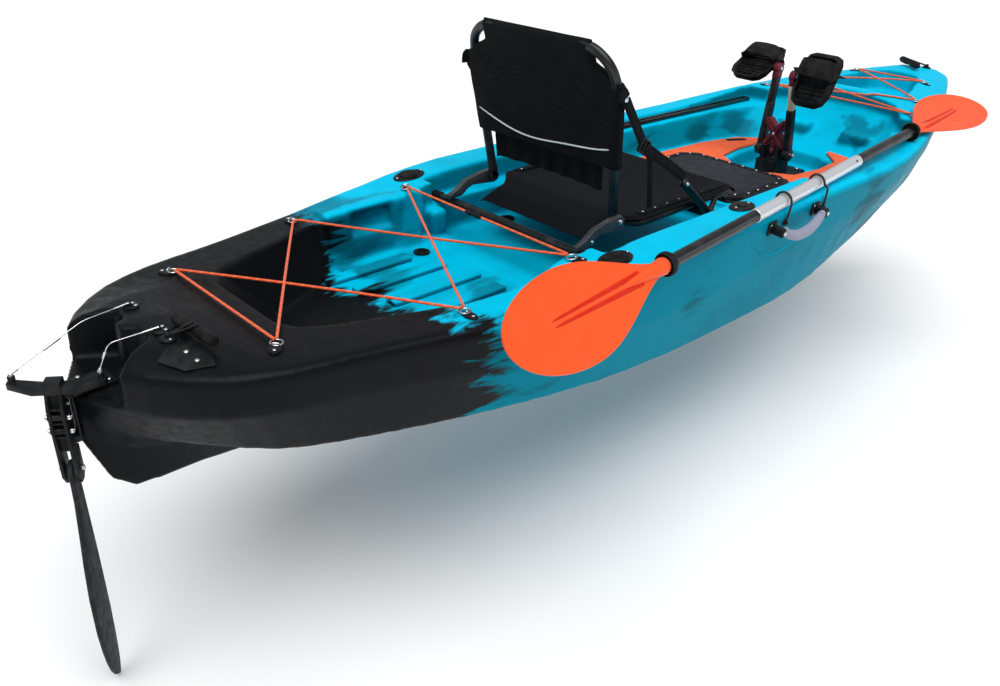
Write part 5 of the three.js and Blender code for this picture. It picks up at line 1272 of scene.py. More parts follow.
@dataclass
class Deck:
    """The fittings on the deck: toggles, rails, rod holders, mounts, pads, hatch and drain plug."""

    surface: HullSurface
    mount: tuple[float, float] = (0.822 * HALF_BEAM, along(0.463))
    lid_half: tuple[float, float] = (0.186, 0.135)
    lid_corner: float = 0.038
    tab_pitch: float = 0.05

    def build(self) -> None:
        """Builds the fittings."""
        self._toggles()
        self._rails()
        self._holders()
        self._foam()
        self._hatch()
        plug = Shape(Finish.BLACK).copy_of("drain_plug").bevel(0.0006, 2, 40)
        plug.piece("drain_cap", "kayak", "drain_plug")

    def _toggles(self) -> None:
        """Builds the carry toggles: a round grip on a cord loop."""
        places = {"stern_toggle": (0.108, 0.0602, 0.08, (0.094, -0.042)),
                  "bow_toggle": (-0.014, 0.9475, -0.68, (0.03, 0.045))}
        for name, (x, share, turn, pad) in places.items():
            y = along(share)
            foot = self.surface.seat(pad[0], y + pad[1], 0.014)
            middle = self.surface.deck(x, y) + UP * (0.011 + GAP + 0.0044)
            way = Vector((math.cos(turn), math.sin(turn), 0))
            grip = Shape(Finish.RUBBER, Finish.BLACK, Finish.STEEL)
            half = [(0.0084, 0.012), (0.0108, 0.018), (0.0112, 0.03), (0.0106, 0.057), (0.0088, 0.0635),
                    (0.004, 0.065), (0, 0.065)]
            profile = [*[(r, -h) for r, h in reversed(half)], *half]
            grip.lathe(profile, Matrix.Translation(middle) @ turn_to(way), 28)
            grip.use(Finish.BLACK)
            grip.lathe([(0, 0), (0.0142, 0), (0.0142, 0.003), (0.011, 0.0052), (0, 0.0056)], foot, 28)
            knot = foot @ Vector((0, 0, 0.008))
            for t in (-1, 1):
                end = middle + way * t * 0.008
                bend = knot.lerp(end, 0.5) + UP * 0.004
                over = end + UP * 0.0096
                last = over + (over - bend).normalized() * 0.004
                grip.tube(divided(rounded([knot, bend, over, last], 0.02), 0.006), 0.0027, 10)
            grip.ball(knot, 0.0056)
            grip.use(Finish.STEEL).screw(foot @ Vector((0.009, 0.0, 0.004)), foot.to_3x3() @ UP, 0.003)
            grip.piece(f"{name}_grip", "kayak", name)

    def _rails(self) -> None:
        """Builds the gear rails, with screws in their slots and a cap on each end."""
        for side, s in SIDES.items():
            rail = Shape(Finish.RAIL, Finish.STEEL, Finish.BLACK).copy_of(f"gear_rail_{side}")
            rail.bevel(0.0008, 2, 40)
            ends = [Vector((s * w * HALF_BEAM, along(y), 0.942 * DEPTH + GAP))
                    for w, y in ((0.794, 0.573), (0.725, 0.7707))]
            rail.use(Finish.STEEL)
            for t in (0.06, 0.35, 0.65, 0.94):
                rail.screw(ends[0].lerp(ends[1], t) + UP * 0.0052, UP, 0.0042)
            rail.use(Finish.BLACK)
            way = (ends[1] - ends[0]).normalized()
            across = way.cross(UP)
            for end, out in ((ends[0], -1), (ends[1], 1)):
                rail.box((-0.0145, -0.001, -0.0001), (0.0145, 0.005, 0.0124), 0.0025,
                         framed((across, way * out, UP), end))
            rail.piece(f"rail_{side}", "kayak", f"gear_rail_{side}")

    def _holders(self) -> None:
        """Builds the rod holders with their caps, and the small oval mounts."""
        for side, s in SIDES.items():
            place = self.surface.seat(s * ROD_HOLDER[0], ROD_HOLDER[1], 0.0391)
            holder = Shape(Finish.BLACK, Finish.STEEL, Finish.RUBBER)
            oval = place @ Matrix.Diagonal((0.0312, 0.0442, 1, 1))
            holder.lathe([(0, 0), (1, 0), (1.0, 0.0018), (0.95, 0.0036), (0.88, 0.004), (0, 0.004)], oval, 48)
            holder.use(Finish.RUBBER)
            holder.lathe([(0, 0.004), (0.026, 0.004), (0.0262, 0.0062), (0.024, 0.0078), (0.012, 0.0088),
                          (0, 0.009)], place, 40)
            holder.box((-0.008, 0.023, 0.004), (0.008, 0.034, 0.0072), 0.0014, place)
            holder.use(Finish.STEEL)
            for y in (-0.037, 0.038):
                holder.screw(place @ Vector((0, y, 0.004)), place.to_3x3() @ UP, 0.0034)
            holder.piece(f"rod_cup_{side}", "kayak", f"rod_holder_{side}")
            place = self.surface.seat(s * self.mount[0], self.mount[1], 0.034)
            mount = Shape(Finish.BLACK, Finish.STEEL)
            mount.lathe([(0, 0), (1, 0), (1, 0.0018), (0.94, 0.0036), (0.85, 0.004), (0, 0.004)],
                        place @ Matrix.Diagonal((0.0265, 0.0385, 1, 1)), 44)
            mount.lathe([(0, 0.004), (0.012, 0.004), (0.012, 0.0056), (0.0105, 0.0064), (0.006, 0.0058),
                         (0, 0.0056)], place, 32)
            mount.use(Finish.STEEL)
            for y in (-0.025, 0.025):
                mount.screw(place @ Vector((0, y, 0.004)), place.to_3x3() @ UP, 0.0036)
            mount.piece(f"deck_disc_{side}", "kayak", f"deck_mount_{side}")

    def _foam(self) -> None:
        """Builds the foam pads, each with its dark slot."""
        for side, s in SIDES.items():
            pad = Shape(Finish.FOAM, Finish.RUBBER).copy_of(f"foam_pad_{side}").bevel(0.002, 3, 40)
            pad.use(Finish.RUBBER)
            top = FOOT_FLOOR + GAP + 0.008
            place = Matrix.Translation((s * 0.2, 0.665, top - 0.0004)) @ Matrix.Rotation(s * 0.55, 4, "Z")
            pad.box((-0.011, -0.034, 0), (0.011, 0.034, 0.0012), 0.0005, place)
            pad.piece(f"foam_{side}", "kayak", f"foam_pad_{side}")

    def _hatch(self) -> None:
        """Builds the hatch rim, and the lid with its raised panel, tabs and screws."""
        rim = Shape(Finish.BLACK).copy_of("hatch_rim").bevel(0.0006, 2, 50)
        rim.piece("hatch_frame", "kayak", "hatch_rim")
        y0 = along(0.58)
        top = PLATFORM + GAP * 2 + 0.004 + 0.008
        lid = Shape(Finish.PANEL, Finish.STEEL, Finish.RUBBER).copy_of("hatch_lid").bevel(0.0022, 3, 50)

        def corners(inset: float) -> list[tuple[float, float]]:
            """Gives the lid's outline drawn in by an inset."""
            x, y = [size - inset for size in self.lid_half]
            cut = self.lid_corner - inset * 0.4
            return [(-x + cut, -y), (x - cut, -y), (x, -y + cut), (x, y - cut), (x - cut, y), (-x + cut, y),
                    (-x, y - cut), (-x, -y + cut)]

        place = Matrix.Translation((0, y0, top - 0.0005))
        lid.slab(corners(0.026), place, 0.0022, 0.0012)
        outline = [Vector((x, y, 0)) for x, y in corners(0.0125)]
        lid.use(Finish.RUBBER)
        spots = []
        for a, b in zip(outline, [*outline[1:], outline[0]]):
            way = (b - a).normalized()
            count = max(1, round((b - a).length / self.tab_pitch))
            for k in range(count):
                spots.append(a.lerp(b, (k + 0.5) / count))
                turn = Matrix.Rotation(math.atan2(way.y, way.x), 4, "Z")
                lid.box((-0.019, -0.0085, 0.0), (0.019, 0.0085, 0.0016), 0.0006,
                        place @ Matrix.Translation(spots[-1]) @ turn)
        lid.use(Finish.STEEL)
        for spot in spots:
            lid.screw(place @ (spot + UP * 0.0014), UP, 0.0042)
        lid.piece("hatch_cover", "hatch_lid", "hatch_lid")


@dataclass
class Rudder:
    """The rudder and its steering cables. At rest it is steered to one side."""

    surface: HullSurface
    steer: float = math.radians(55)
    pin_y: float = -1.58727
    top: float = PLATFORM + 0.014
    horn: float = 0.072

    def build(self) -> None:
        """Builds the mount, head, yoke, blade and cables."""
        turn = Matrix.Translation((0, self.pin_y, 0)) @ Matrix.Rotation(self.steer, 4, "Z")
        mount = Shape(Finish.BLACK, Finish.STEEL).copy_of("rudder_mount").bevel(0.0008, 2, 45)
        mount.use(Finish.STEEL)
        for x in (-0.0202, 0.0202):
            for y in (0.3, 0.8):
                mount.screw((x, -1.5703 + 0.078 * y, PLATFORM + GAP + 0.0074), UP, 0.0044)
        mount.piece("rudder_bracket", "kayak", "rudder_mount")
        head = Shape(Finish.BLACK, Finish.STEEL).copy_of("rudder_head").bevel(0.0009, 2, 45)
        head.use(Finish.STEEL)
        for s in (-1, 1):
            out = turn.to_3x3() @ Vector((s, 0, 0))
            for y, z in ((-0.0205, 0.112), (-0.029, 0.195), (-0.029, 0.222)):
                head.screw(turn @ Vector((s * 0.0185, y, z)), out, 0.0052)
            head.screw(turn @ Vector((s * 0.0145, -0.012, 0.24)), out, 0.0036)
        head.piece("rudder_cheeks", "rudder", "rudder_head")
        yoke = Shape(Finish.BLACK, Finish.STEEL).copy_of("rudder_yoke").bevel(0.0016, 3, 45)
        yoke.use(Finish.STEEL)
        for s in (-1, 1):
            yoke.screw(turn @ Vector((s * self.horn, 0.004, self.top + 0.0216)), UP, 0.0042)
        yoke.piece("rudder_arms", "rudder", "rudder_yoke")
        blade = Shape(Finish.BLADE).copy_of("rudder_blade").bevel(0.0036, 4, 50)
        blade.piece("rudder_foil", "rudder_blade", "rudder_blade", sharp=50)
        for side in SIDES:
            self._cable(side, turn)

    def _cable(self, side: str, turn: Matrix) -> None:
        """Builds one steering cable from its deck outlet to the yoke.

        Args:
            side: port or starboard.
            turn: the steered rudder's frame.
        """
        s = SIDES[side]
        x = s * 0.145 * HALF_BEAM
        seat = self.surface.seat(x, along(0.043) + 0.014, 0.0154)
        up = seat.to_3x3() @ UP
        outlet = Shape(Finish.BLACK, Finish.STEEL, Finish.RUBBER)
        outlet.lathe([(0, 0), (0.0145, 0), (0.0145, 0.0025), (0.012, 0.004), (0, 0.0042)], seat, 32)
        outlet.box((-0.004, -0.014, 0.002), (0.004, 0.002, 0.0088), 0.0018, seat)
        outlet.use(Finish.STEEL)
        for out in (0.0072, -0.0072):
            outlet.screw(seat @ Vector((out, 0.0065, 0.004)), up, 0.0036)
        outlet.piece(f"cable_outlet_{side}", "kayak")
        start = seat @ Vector((0, -0.007, 0.0076))
        end = turn @ Vector((s * self.horn, 0.004, self.top + 0.0256))
        edge = Vector((x * 0.9, along(0.026) - 0.021, start.z - 0.004))
        line = divided(rounded([start, edge, end], 0.012, 5), 0.008)
        wire = Shape(Finish.STEEL, Finish.BLACK)
        wire.tube(line, 0.0011, 10)
        wire.rod(start - (edge - start) * 0.05, start.lerp(edge, 0.3), 0.0028, 0.0018, 16)
        wire.rod(edge.lerp(end, 0.32), edge.lerp(end, 0.56), 0.0026, sides=12, bevel=0.0006)
        wire.rod(end.lerp(edge, 0.1), end + (end - edge).normalized() * 0.002, 0.0024, sides=16, bevel=0.0006)
        wire.ring(Matrix.Translation(end - UP * 0.0012), 0.0034, 0.0011, 20, 8)
        made = wire.piece(f"cable_wire_{side}", None, f"steering_cable_{side}")
        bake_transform(made)


@dataclass
class Chair:
    """The raised chair: frame, hinged back, cloths and straps."""

    y: float = along(0.33)
    hinge_z: float = LEDGE + 0.061
    tube: float = 0.012
    bar_half: float = 0.29
    half: float = 0.218
    post_half: float = 0.203
    post_top: float = 0.226
    pan_z: float = LEDGE + 0.043
    pan_slope: float = 0.006
    anchor_z: float = LEDGE + 0.114
    bend_z: float = LEDGE + 0.368
    back_top: float = LEDGE + 0.445
    bar_ahead: float = 0.44
    cap: tuple[float, float] = (0.262, 0.291)
    pan_rear: float = 0.164
    pan_front: float = 0.54
    strut_out: float = 0.025
    anchor_behind: float = 0.118
    stud_behind: float = 0.041
    stud_under: float = 0.022
    stud_half: float = 0.0164
    lug_half: float = 0.008
    arm_thick: float = 0.014
    hem_x: float = 0.206
    belt_half: float = 0.0125

    @property
    def hinge_y(self) -> float:
        """The Y of the back's hinge."""
        return self.y + 0.121

    def build(self) -> None:
        """Builds the chair."""
        self._frame()
        self._castings()
        self._back_frame()
        self._back_cloth()
        self._pan()
        for side in SIDES:
            self._strap(side)

    def _frame(self) -> None:
        """Builds the crossbars and the pan's frame."""
        bar_z = LEDGE + self.tube + GAP
        rear, front = self.y + self.pan_rear, self.y + self.pan_front
        bar = Shape(Finish.TUBE, Finish.RUBBER)
        self._crossbar(bar, self.y, bar_z)
        bar.use(Finish.RUBBER)
        for s in (-1, 1):
            self._bar_cap(bar, s, self.y, bar_z)
        bar.piece("rear_crossbar", "kayak", "seat_rear_bar")
        base = Shape(Finish.TUBE, Finish.STEEL, Finish.RUBBER)
        bar_y = self.y + self.bar_ahead
        self._crossbar(base, bar_y, bar_z)
        back, low = rear + 0.02, self.pan_z - self.pan_slope
        ring = rounded([(0, back, low), (-self.half, back, low), (-self.half, front, self.pan_z),
                        (self.half, front, self.pan_z), (self.half, back, low), (0, back, low)], 0.035, 8)
        base.tube(divided(ring, 0.03)[:-1], self.tube * 0.8, 20, closed=True)
        for s in (-1, 1):
            out = s * (self.half + self.strut_out)
            anchor = Vector((out, bar_y - self.anchor_behind, self.anchor_z))
            foot = Vector((out, bar_y, bar_z))
            base.tube([anchor, foot], self.tube * 0.8, 20)
            base.ball(anchor, self.tube * 0.82)
            brace = Vector((s * self.half, foot.y - 0.03, self.pan_z - 0.002))
            base.rod(brace, (out, foot.y - 0.03, (anchor.z - foot.z) * 0.26 + foot.z), self.tube * 0.6,
                     sides=20)
            base.rod((s * self.half, front - 0.04, self.pan_z), foot, self.tube * 0.6, sides=20)
            base.use(Finish.STEEL).screw(anchor + Vector((s * self.tube * 0.8, 0, 0)), (s, 0, 0), 0.0052)
            base.screw(foot + Vector((s * self.tube * 0.95, 0, 0.004)), (s, 0, 0.2), 0.0048)
            base.use(Finish.RUBBER)
            self._bar_cap(base, s, bar_y, bar_z)
            base.use(Finish.TUBE)
        base.piece("seat_frame", "kayak", "seat_base")

    def _crossbar(self, shape: Shape, y: float, z: float) -> None:
        """Adds a crossbar from ledge to ledge."""
        shape.rod((-self.bar_half, y, z), (self.bar_half, y, z), self.tube, sides=40, bevel=0.002)

    def _bar_cap(self, shape: Shape, s: int, y: float, z: float) -> None:
        """Adds the rubber cap on one end of a crossbar."""
        a, b = [(s * x, y, z) for x in self.cap]
        shape.rod(a, b, self.tube + 0.0016, sides=36, bevel=0.0014)

    def _castings(self) -> None:
        """Builds the cast side arms with their hinge bolts."""
        for side, s in SIDES.items():
            arm = Shape(Finish.CAST_AND_SHAFT_GLINT, Finish.STEEL).copy_of(f"seat_casting_{side}").bevel(0.0022, 3, 28)
            arm.use(Finish.STEEL)
            face = self.post_half + self.lug_half + GAP + self.arm_thick
            arm.screw((s * face, self.hinge_y, self.hinge_z), (s, 0, 0), 0.0066)
            arm.screw((s * face, self.y + 0.03, LEDGE + 0.036), (s, 0, 0), 0.0046)
            arm.piece(f"side_arm_{side}", "kayak", f"seat_casting_{side}")

    def _posts(self, s: int) -> list[Vector]:
        """Gives one post's line, from the hinge up to the top bar.

        Args:
            s: the sign of its side's X.

        Returns:
            The line's corners.
        """
        y = self.hinge_y
        return [Vector(p) for p in (
            (s * self.post_half, y - 0.001, self.hinge_z + 0.0182),
            (s * self.post_top, y - 0.044, self.bend_z),
            (s * (self.post_top - 0.012), y - 0.058, self.bend_z + 0.045),
            (s * (self.post_top - 0.055), y - 0.068, self.back_top))]

    def _back_frame(self) -> None:
        """Builds the back's bent tube, its hinge lugs and its strap studs."""
        r = self.tube * 0.92
        line = divided(rounded([*self._posts(-1), *reversed(self._posts(1))], 0.045, 8), 0.04)
        back = Shape(Finish.TUBE, Finish.STEEL, Finish.RUBBER)
        back.tube(line, r, 24)
        for s in (-1, 1):
            inner, outer = s * self.post_half - self.lug_half, s * self.post_half + self.lug_half
            back.rod((inner, self.hinge_y, self.hinge_z), (outer, self.hinge_y, self.hinge_z), 0.013,
                     sides=36, bevel=0.0016)
            back.box((inner, self.hinge_y - 0.0114, self.hinge_z),
                     (outer, self.hinge_y + 0.0094, self.hinge_z + 0.03), 0.003)
            stud = self._stud(s * (self.post_top + 0.004))
            reach = Vector((self.stud_half, 0, 0))
            back.rod(stud - reach, stud + reach, 0.004, sides=20)
            back.use(Finish.STEEL)
            back.screw(stud + reach * s, (s, 0, 0), 0.0062)
            back.use(Finish.TUBE)
        back.piece("back_tube", "seat_back", "seat_back_frame")

    def _stud(self, x: float) -> Vector:
        """Gives a strap stud's place beside the back's frame."""
        return Vector((x, self.hinge_y - self.stud_behind, self.bend_z - self.stud_under))

    def _lean(self, z: float) -> float:
        """Gives the posts' Y at a height."""
        return self.hinge_y + blend_value([(self.hinge_z, -0.001), (self.bend_z, -0.044), (0.695, -0.058),
                                           (0.735, -0.07)], z)

    def _post_x(self, z: float) -> float:
        """Gives the posts' X at a height."""
        return blend_value([(self.hinge_z, self.post_half), (self.bend_z, self.post_top), (0.695, 0.214),
                            (self.back_top, 0.171)], z)

    def _cloth_half(self, z: float, lift: float) -> float:
        """Gives half the back cloth's width at a height, drawn in under the top corners."""
        wide = self._post_x(z) + lift
        return wide + (0.166 - wide) * blend_value([(0.655, 0.0), (0.676, 0.45), (0.694, 1.0)], z)

    def _back_cloth(self) -> None:
        """Builds the back's sleeve of cloth, its piping and inner panel."""
        sleeve = Shape(Finish.CLOTH)
        count, rows = 96, 40
        low, high = 0.468, 0.7405
        deep = self.tube * 0.92 + 0.004

        def loop(z: float) -> list[Vector]:
            """Gives the sleeve's outline at a height."""
            half = self._cloth_half(z, deep)
            shrink = 1 - 0.9 * blend_value([(0.727, 0.0), (high, 1.0)], z)
            top = min(z, self.back_top + deep * 0.96)
            points = []
            for k in range(count):
                t = k / count * math.tau
                cx, cy = math.cos(t), math.sin(t)
                x = math.copysign(abs(cx) ** 0.32, cx) * half
                sag = 0.010 * (1 - (x / half) ** 2) * min(1.0, (0.735 - z) / 0.05)
                y = math.copysign(abs(cy) ** 0.3, cy) * deep * shrink
                wrinkle = 0.0012 * math.sin(x * 55 + z * 21) * math.sin(z * 47 + x * 9)
                y += (-sag * 0.55 if y > 0 else sag * 0.75) + wrinkle
                points.append(Vector((x, self._lean(z) + y, top)))
            return points

        heights = [low + (high - low) * k / rows for k in range(rows + 1)]
        key = sleeve.bm.verts.layers.int.new("order")
        ring = bmesh.ops.create_circle(sleeve.bm, cap_ends=False, segments=count, radius=1)["verts"]
        for vert, point in zip(ring, loop(heights[0])):
            vert.co = point
        for k, vert in enumerate(ring):
            vert[key] = k
        for z in heights[1:]:
            ring = sleeve.grow(ring)
            points = loop(z)
            for vert in ring:
                vert.co = points[vert[key]]
        bmesh.ops.holes_fill(sleeve.bm, edges=sleeve.rim(ring), sides=0)
        bmesh.ops.recalc_face_normals(sleeve.bm, faces=sleeve.bm.faces[:])
        bmesh.ops.solidify(sleeve.bm, geom=sleeve.bm.faces[:], thickness=0.0016)
        cloth = sleeve.piece("back_sleeve", "seat_back", "seat_back_fabric", sharp=70)
        trim = Shape(Finish.PIPING, Finish.CLOTH)
        rear = -(deep + 0.0012)
        line = []
        for k in range(41):
            x = -0.222 + 0.444 * k / 40
            z = 0.486 + 0.034 * (x / 0.22) ** 2 + 0.004 * math.sin(x * 21)
            half = self._cloth_half(z, deep)
            sag = 0.010 * (1 - min(1, (x / half) ** 2)) * 0.75
            edge = max(0.0, 1 - abs(x / half) ** 6)
            line.append(Vector((x, self._lean(z) + rear * edge ** 0.4 + sag, z)))
        trim.tube(line, 0.0019, 10)
        trim.piece("back_piping", "seat_back", slot="black_fabric")
        inner = Shape(Finish.CLOTH)
        y = self._lean(0.46)
        bmesh.ops.create_grid(inner.bm, x_segments=30, y_segments=14, size=0.5)

        def hang(p: Vector) -> Vector:
            """Hangs a point of the flat panel between the posts."""
            x = p.x * 2 * 0.172
            drop = p.y + 0.5
            z = 0.408 + 0.105 * drop
            fold = 0.003 * math.sin(p.x * 40) * (1 - drop)
            return Vector((x, y + 0.004 + 0.012 * (1 - (p.x * 2) ** 2) + fold, z))

        inner.move(hang)
        bmesh.ops.solidify(inner.bm, geom=inner.bm.faces[:], thickness=0.003)
        inner.piece("back_apron", "seat_back", sharp=60)

    def _pan(self) -> None:
        """Builds the pan's sling, sagging between its rails, with a hem and a row of rivets."""
        z = self.pan_z + self.tube * 0.76 + GAP
        y0, y1 = self.y + self.pan_rear, self.y + self.pan_front
        rows = [(self.y + 0.057, z - 0.0315), (self.y + 0.103, z - 0.0135), (y0 - 0.001, z + 0.003),
                (y1 + 0.01, z + 0.0045), (y1 + 0.0225, z - 0.003), (y1 + 0.0255, z - 0.0115)]
        line = divided(rounded([(0, y, h) for y, h in rows], 0.02, 4), 0.008)
        sling = Shape(Finish.PAN)
        long = len(line) - 1
        bmesh.ops.create_grid(sling.bm, x_segments=44, y_segments=long, size=0.5)

        def lay(p: Vector) -> Vector:
            """Lays a point of the flat cloth over the frame."""
            k = min(long, max(0, round((p.y + 0.5) * long)))
            base = line[k]
            wide = blend_value([(y0 - 0.03, 0.178), (y0 + 0.03, 0.228)], base.y)
            across = p.x * 2
            inside = 1 - abs(across) ** 3
            middle = math.sin(math.pi * min(1, max(0, (base.y - y0) / (y1 - y0))))
            sag = 0.014 * inside * middle
            roll = 0.006 * max(0.0, abs(across) - 0.94) / 0.06
            return Vector((across * wide, base.y, base.z - sag - roll + 0.0006))

        sling.move(lay)
        bmesh.ops.recalc_face_normals(sling.bm, faces=sling.bm.faces[:])
        bmesh.ops.solidify(sling.bm, geom=sling.bm.faces[:], thickness=0.0026)
        cloth = sling.piece("pan_sling", "kayak", "seat_pan", sharp=60)
        trim = Shape(Finish.STEEL, Finish.WEBBING).use(Finish.WEBBING)
        for s in (-1, 1):
            edge = [Vector((s * self.hem_x, p.y, p.z + 0.0008)) for p in line if y0 + 0.04 < p.y < y1]
            trim.tube(edge, 0.011, 8, flat=0.09, up=UP)
        trim.use(Finish.STEEL)
        for s in (-1, 1):
            for k in range(7):
                trim.screw((s * self.hem_x, y0 + 0.06 + 0.045 * k, z + 0.0034), UP, 0.0036)
        trim.piece("pan_hem", "kayak", slot="black_fabric")

    def _strap(self, side: str) -> None:
        """Builds one strap, its buckle and its loose tail.

        Args:
            side: port or starboard.
        """
        s = SIDES[side]
        x = s * (self.post_top + self.tube + 0.010)
        high = self._stud(x)
        buckle = Vector((x, self.y + 0.154, LEDGE + 0.234))
        low = Vector((x, self.y + self.bar_ahead - self.anchor_behind - 0.008, self.anchor_z + 0.018))
        belt = Shape(Finish.WEBBING, Finish.BLACK)
        belt.tube(divided([high, buckle, low], 0.012), self.belt_half, 8, flat=0.11, up=ACROSS)
        round_stud = [high + Vector(step) for step in ((0, 0, 0.004), (0, -0.012, 0.02), (0, -0.014, -0.004))]
        belt.tube(divided(rounded(round_stud, 0.01), 0.005), self.belt_half, 8, flat=0.11, up=ACROSS)
        strap = belt.piece(f"strap_{side}", None, f"seat_strap_{side}", sharp=50)
        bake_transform(strap)
        way = (low - buckle).normalized()
        place = framed((ACROSS, way, ACROSS.cross(way)), buckle)
        hold = Shape(Finish.BLACK)
        for y in (-0.016, -0.004, 0.012):
            hold.box((-0.0042, y - 0.0022, -0.0155), (0.0042, y + 0.0022, 0.0155), 0.0012, place)
        for z in (-0.0145, 0.0145):
            hold.box((-0.0036, -0.018, z - 0.0022), (0.0036, 0.0142, z + 0.0022), 0.0012, place)
        clasp = hold.piece(f"buckle_{side}", None)
        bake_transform(clasp)
        tail = Shape(Finish.WEBBING)
        out = Vector((s * 0.004, 0, 0))
        hang = rounded([buckle + out, buckle + out + Vector((0, 0.02, -0.03)),
                        Vector((x + s * 0.004, self.y + 0.188, 0.37))], 0.03)
        tail.tube(divided(hang, 0.01), 0.01, 8, flat=0.12, up=ACROSS)
        loose = tail.piece(f"strap_tail_{side}", None, sharp=50)
        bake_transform(loose)


@dataclass
class Drive:
    """The pedal drive: base, red frame, arms, pedals and fins."""

    y: float = along(0.6815)
    axle_z: float = BOWL_FLOOR + 0.08
    arm: float = 0.24
    arm_x: float = 0.047
    lean: float = math.radians(7.5)
    tilts: tuple[float, float] = (26, 60)
    near: float = 0.062
    far: float = 0.176

    def build(self) -> None:
        """Builds the drive."""
        base = Shape(Finish.BLACK, Finish.STEEL).copy_of("drive_base").bevel(0.0014, 2, 45)
        base.use(Finish.STEEL)
        for i in (-1, 1):
            for j in (-1, 1):
                base.screw((i * 0.034, self.y + j * 0.096, BOWL_FLOOR + 0.0122), UP, 0.0062)
            base.screw((i * 0.0662, self.y, self.axle_z), (i, 0, 0), 0.0066)
        base.piece("drive_pedestal", "kayak", "drive_base")
        cross = Shape(Finish.METAL_RED, Finish.STEEL).copy_of("drive_frame").bevel(0.0026, 3, 40)
        cross.use(Finish.METAL_RED)
        for s in (-1, 1):
            cross.tube([Vector((s * 0.026, self.y - 0.0125, 0.292)), Vector((0, self.y - 0.014, 0.326)),
                        Vector((-s * 0.026, self.y - 0.0125, 0.362))], 0.004, 12)
        cross.use(Finish.STEEL).screw((0, self.y - 0.0165, 0.326), (0, -1, 0), 0.005)
        cross.piece("drive_cross", "kayak", "drive_frame")
        for side, tilt in zip(SIDES, self.tilts):
            self._arm(side)
            self._pedal(side, math.radians(tilt))
        for end in ("fore", "aft"):
            fin = Shape(Finish.RUBBER).copy_of(f"fin_{end}").bevel(0.0022, 3, 45)
            fin.piece(f"flapper_{end}", f"fin_{end}", f"fin_{end}", sharp=45)

    def _arm_place(self, s: int) -> Matrix:
        """Gives an arm's frame at the axle."""
        return Matrix.Translation((0, self.y, self.axle_z)) @ Matrix.Rotation(self.lean * s, 4, "X")

    def _arm(self, side: str) -> None:
        """Builds one arm with its red fittings; the starboard one has a pale upper half.

        Args:
            side: port or starboard.
        """
        s = SIDES[side]
        place = self._arm_place(s)
        x = s * self.arm_x
        arm = Shape(Finish.TUBE, Finish.METAL_RED, Finish.CREAM, Finish.STEEL)
        body = Finish.CREAM if s > 0 else Finish.TUBE
        arm.box((x - 0.01, -0.014, 0.012), (x + 0.01, 0.014, 0.142), 0.0045, place, 3)
        arm.use(body)
        arm.box((x - 0.0092, -0.0128, 0.138), (x + 0.0092, 0.0128, 0.226), 0.0045, place, 3)
        arm.use(Finish.TUBE)
        centre = place @ Vector((x, 0, 0))
        side_way = place.to_3x3() @ ACROSS
        arm.rod(centre - side_way * 0.01, centre + side_way * 0.01, 0.02, sides=40, bevel=0.002)
        arm.use(Finish.METAL_RED)
        top = place @ Vector((x, 0, self.arm))
        arm.rod(top - side_way * 0.01, top + side_way * 0.01, 0.017, sides=40, bevel=0.0028)
        arm.box((x - 0.0102, -0.0135, 0.212), (x + 0.0102, 0.0135, 0.232), 0.004, place, 3)
        arm.use(Finish.STEEL)
        wide = self.far - self.near + 0.02
        out = place @ Vector((s * self.far, 0, self.arm))
        arm.rod(out - side_way * s * wide, out, 0.006, sides=24, bevel=0.001)
        collar = [place @ Vector((s * (self.near - inset), 0, self.arm)) for inset in (0.005, 0.001)]
        arm.rod(*collar, 0.0108, sides=28, bevel=0.0008)
        arm.screw(top - side_way * s * 0.01, -side_way * s, 0.006)
        arm.screw(centre + side_way * s * 0.01, side_way * s, 0.0075)
        arm.piece(f"crank_{side}", f"pedal_arm_{side}", f"pedal_arm_{side}", slot="dark_tube")

    def _pedal(self, side: str, tilt: float) -> None:
        """Builds one pedal: a ribbed tray with a broad arched strap.

        Args:
            side: port or starboard.
            tilt: the tray's turn about its spindle.
        """
        s = SIDES[side]
        hub = self._arm_place(s) @ Vector((0, 0, self.arm))
        place = Matrix.Translation(hub) @ Matrix.Rotation(tilt, 4, "X")
        wide = self.far - self.near - 0.004
        x = s * (self.near + wide / 2 + 0.001)
        low, half = -0.006, 0.075
        seat, high = low + 0.008, low + 0.008 + 0.044

        def outline(share: float) -> list[tuple[float, float]]:
            """Gives the tray's outline at a share of its size."""
            shares = [(-0.5, -0.55), (-0.42, -0.86), (-0.26, -1), (0.26, -1), (0.42, -0.86), (0.5, -0.55),
                      (0.5, 0.7), (0.44, 0.92), (0.3, 1), (-0.3, 1), (-0.44, 0.92), (-0.5, 0.7)]
            return [(x + i * wide * share, j * half * share) for i, j in shares]

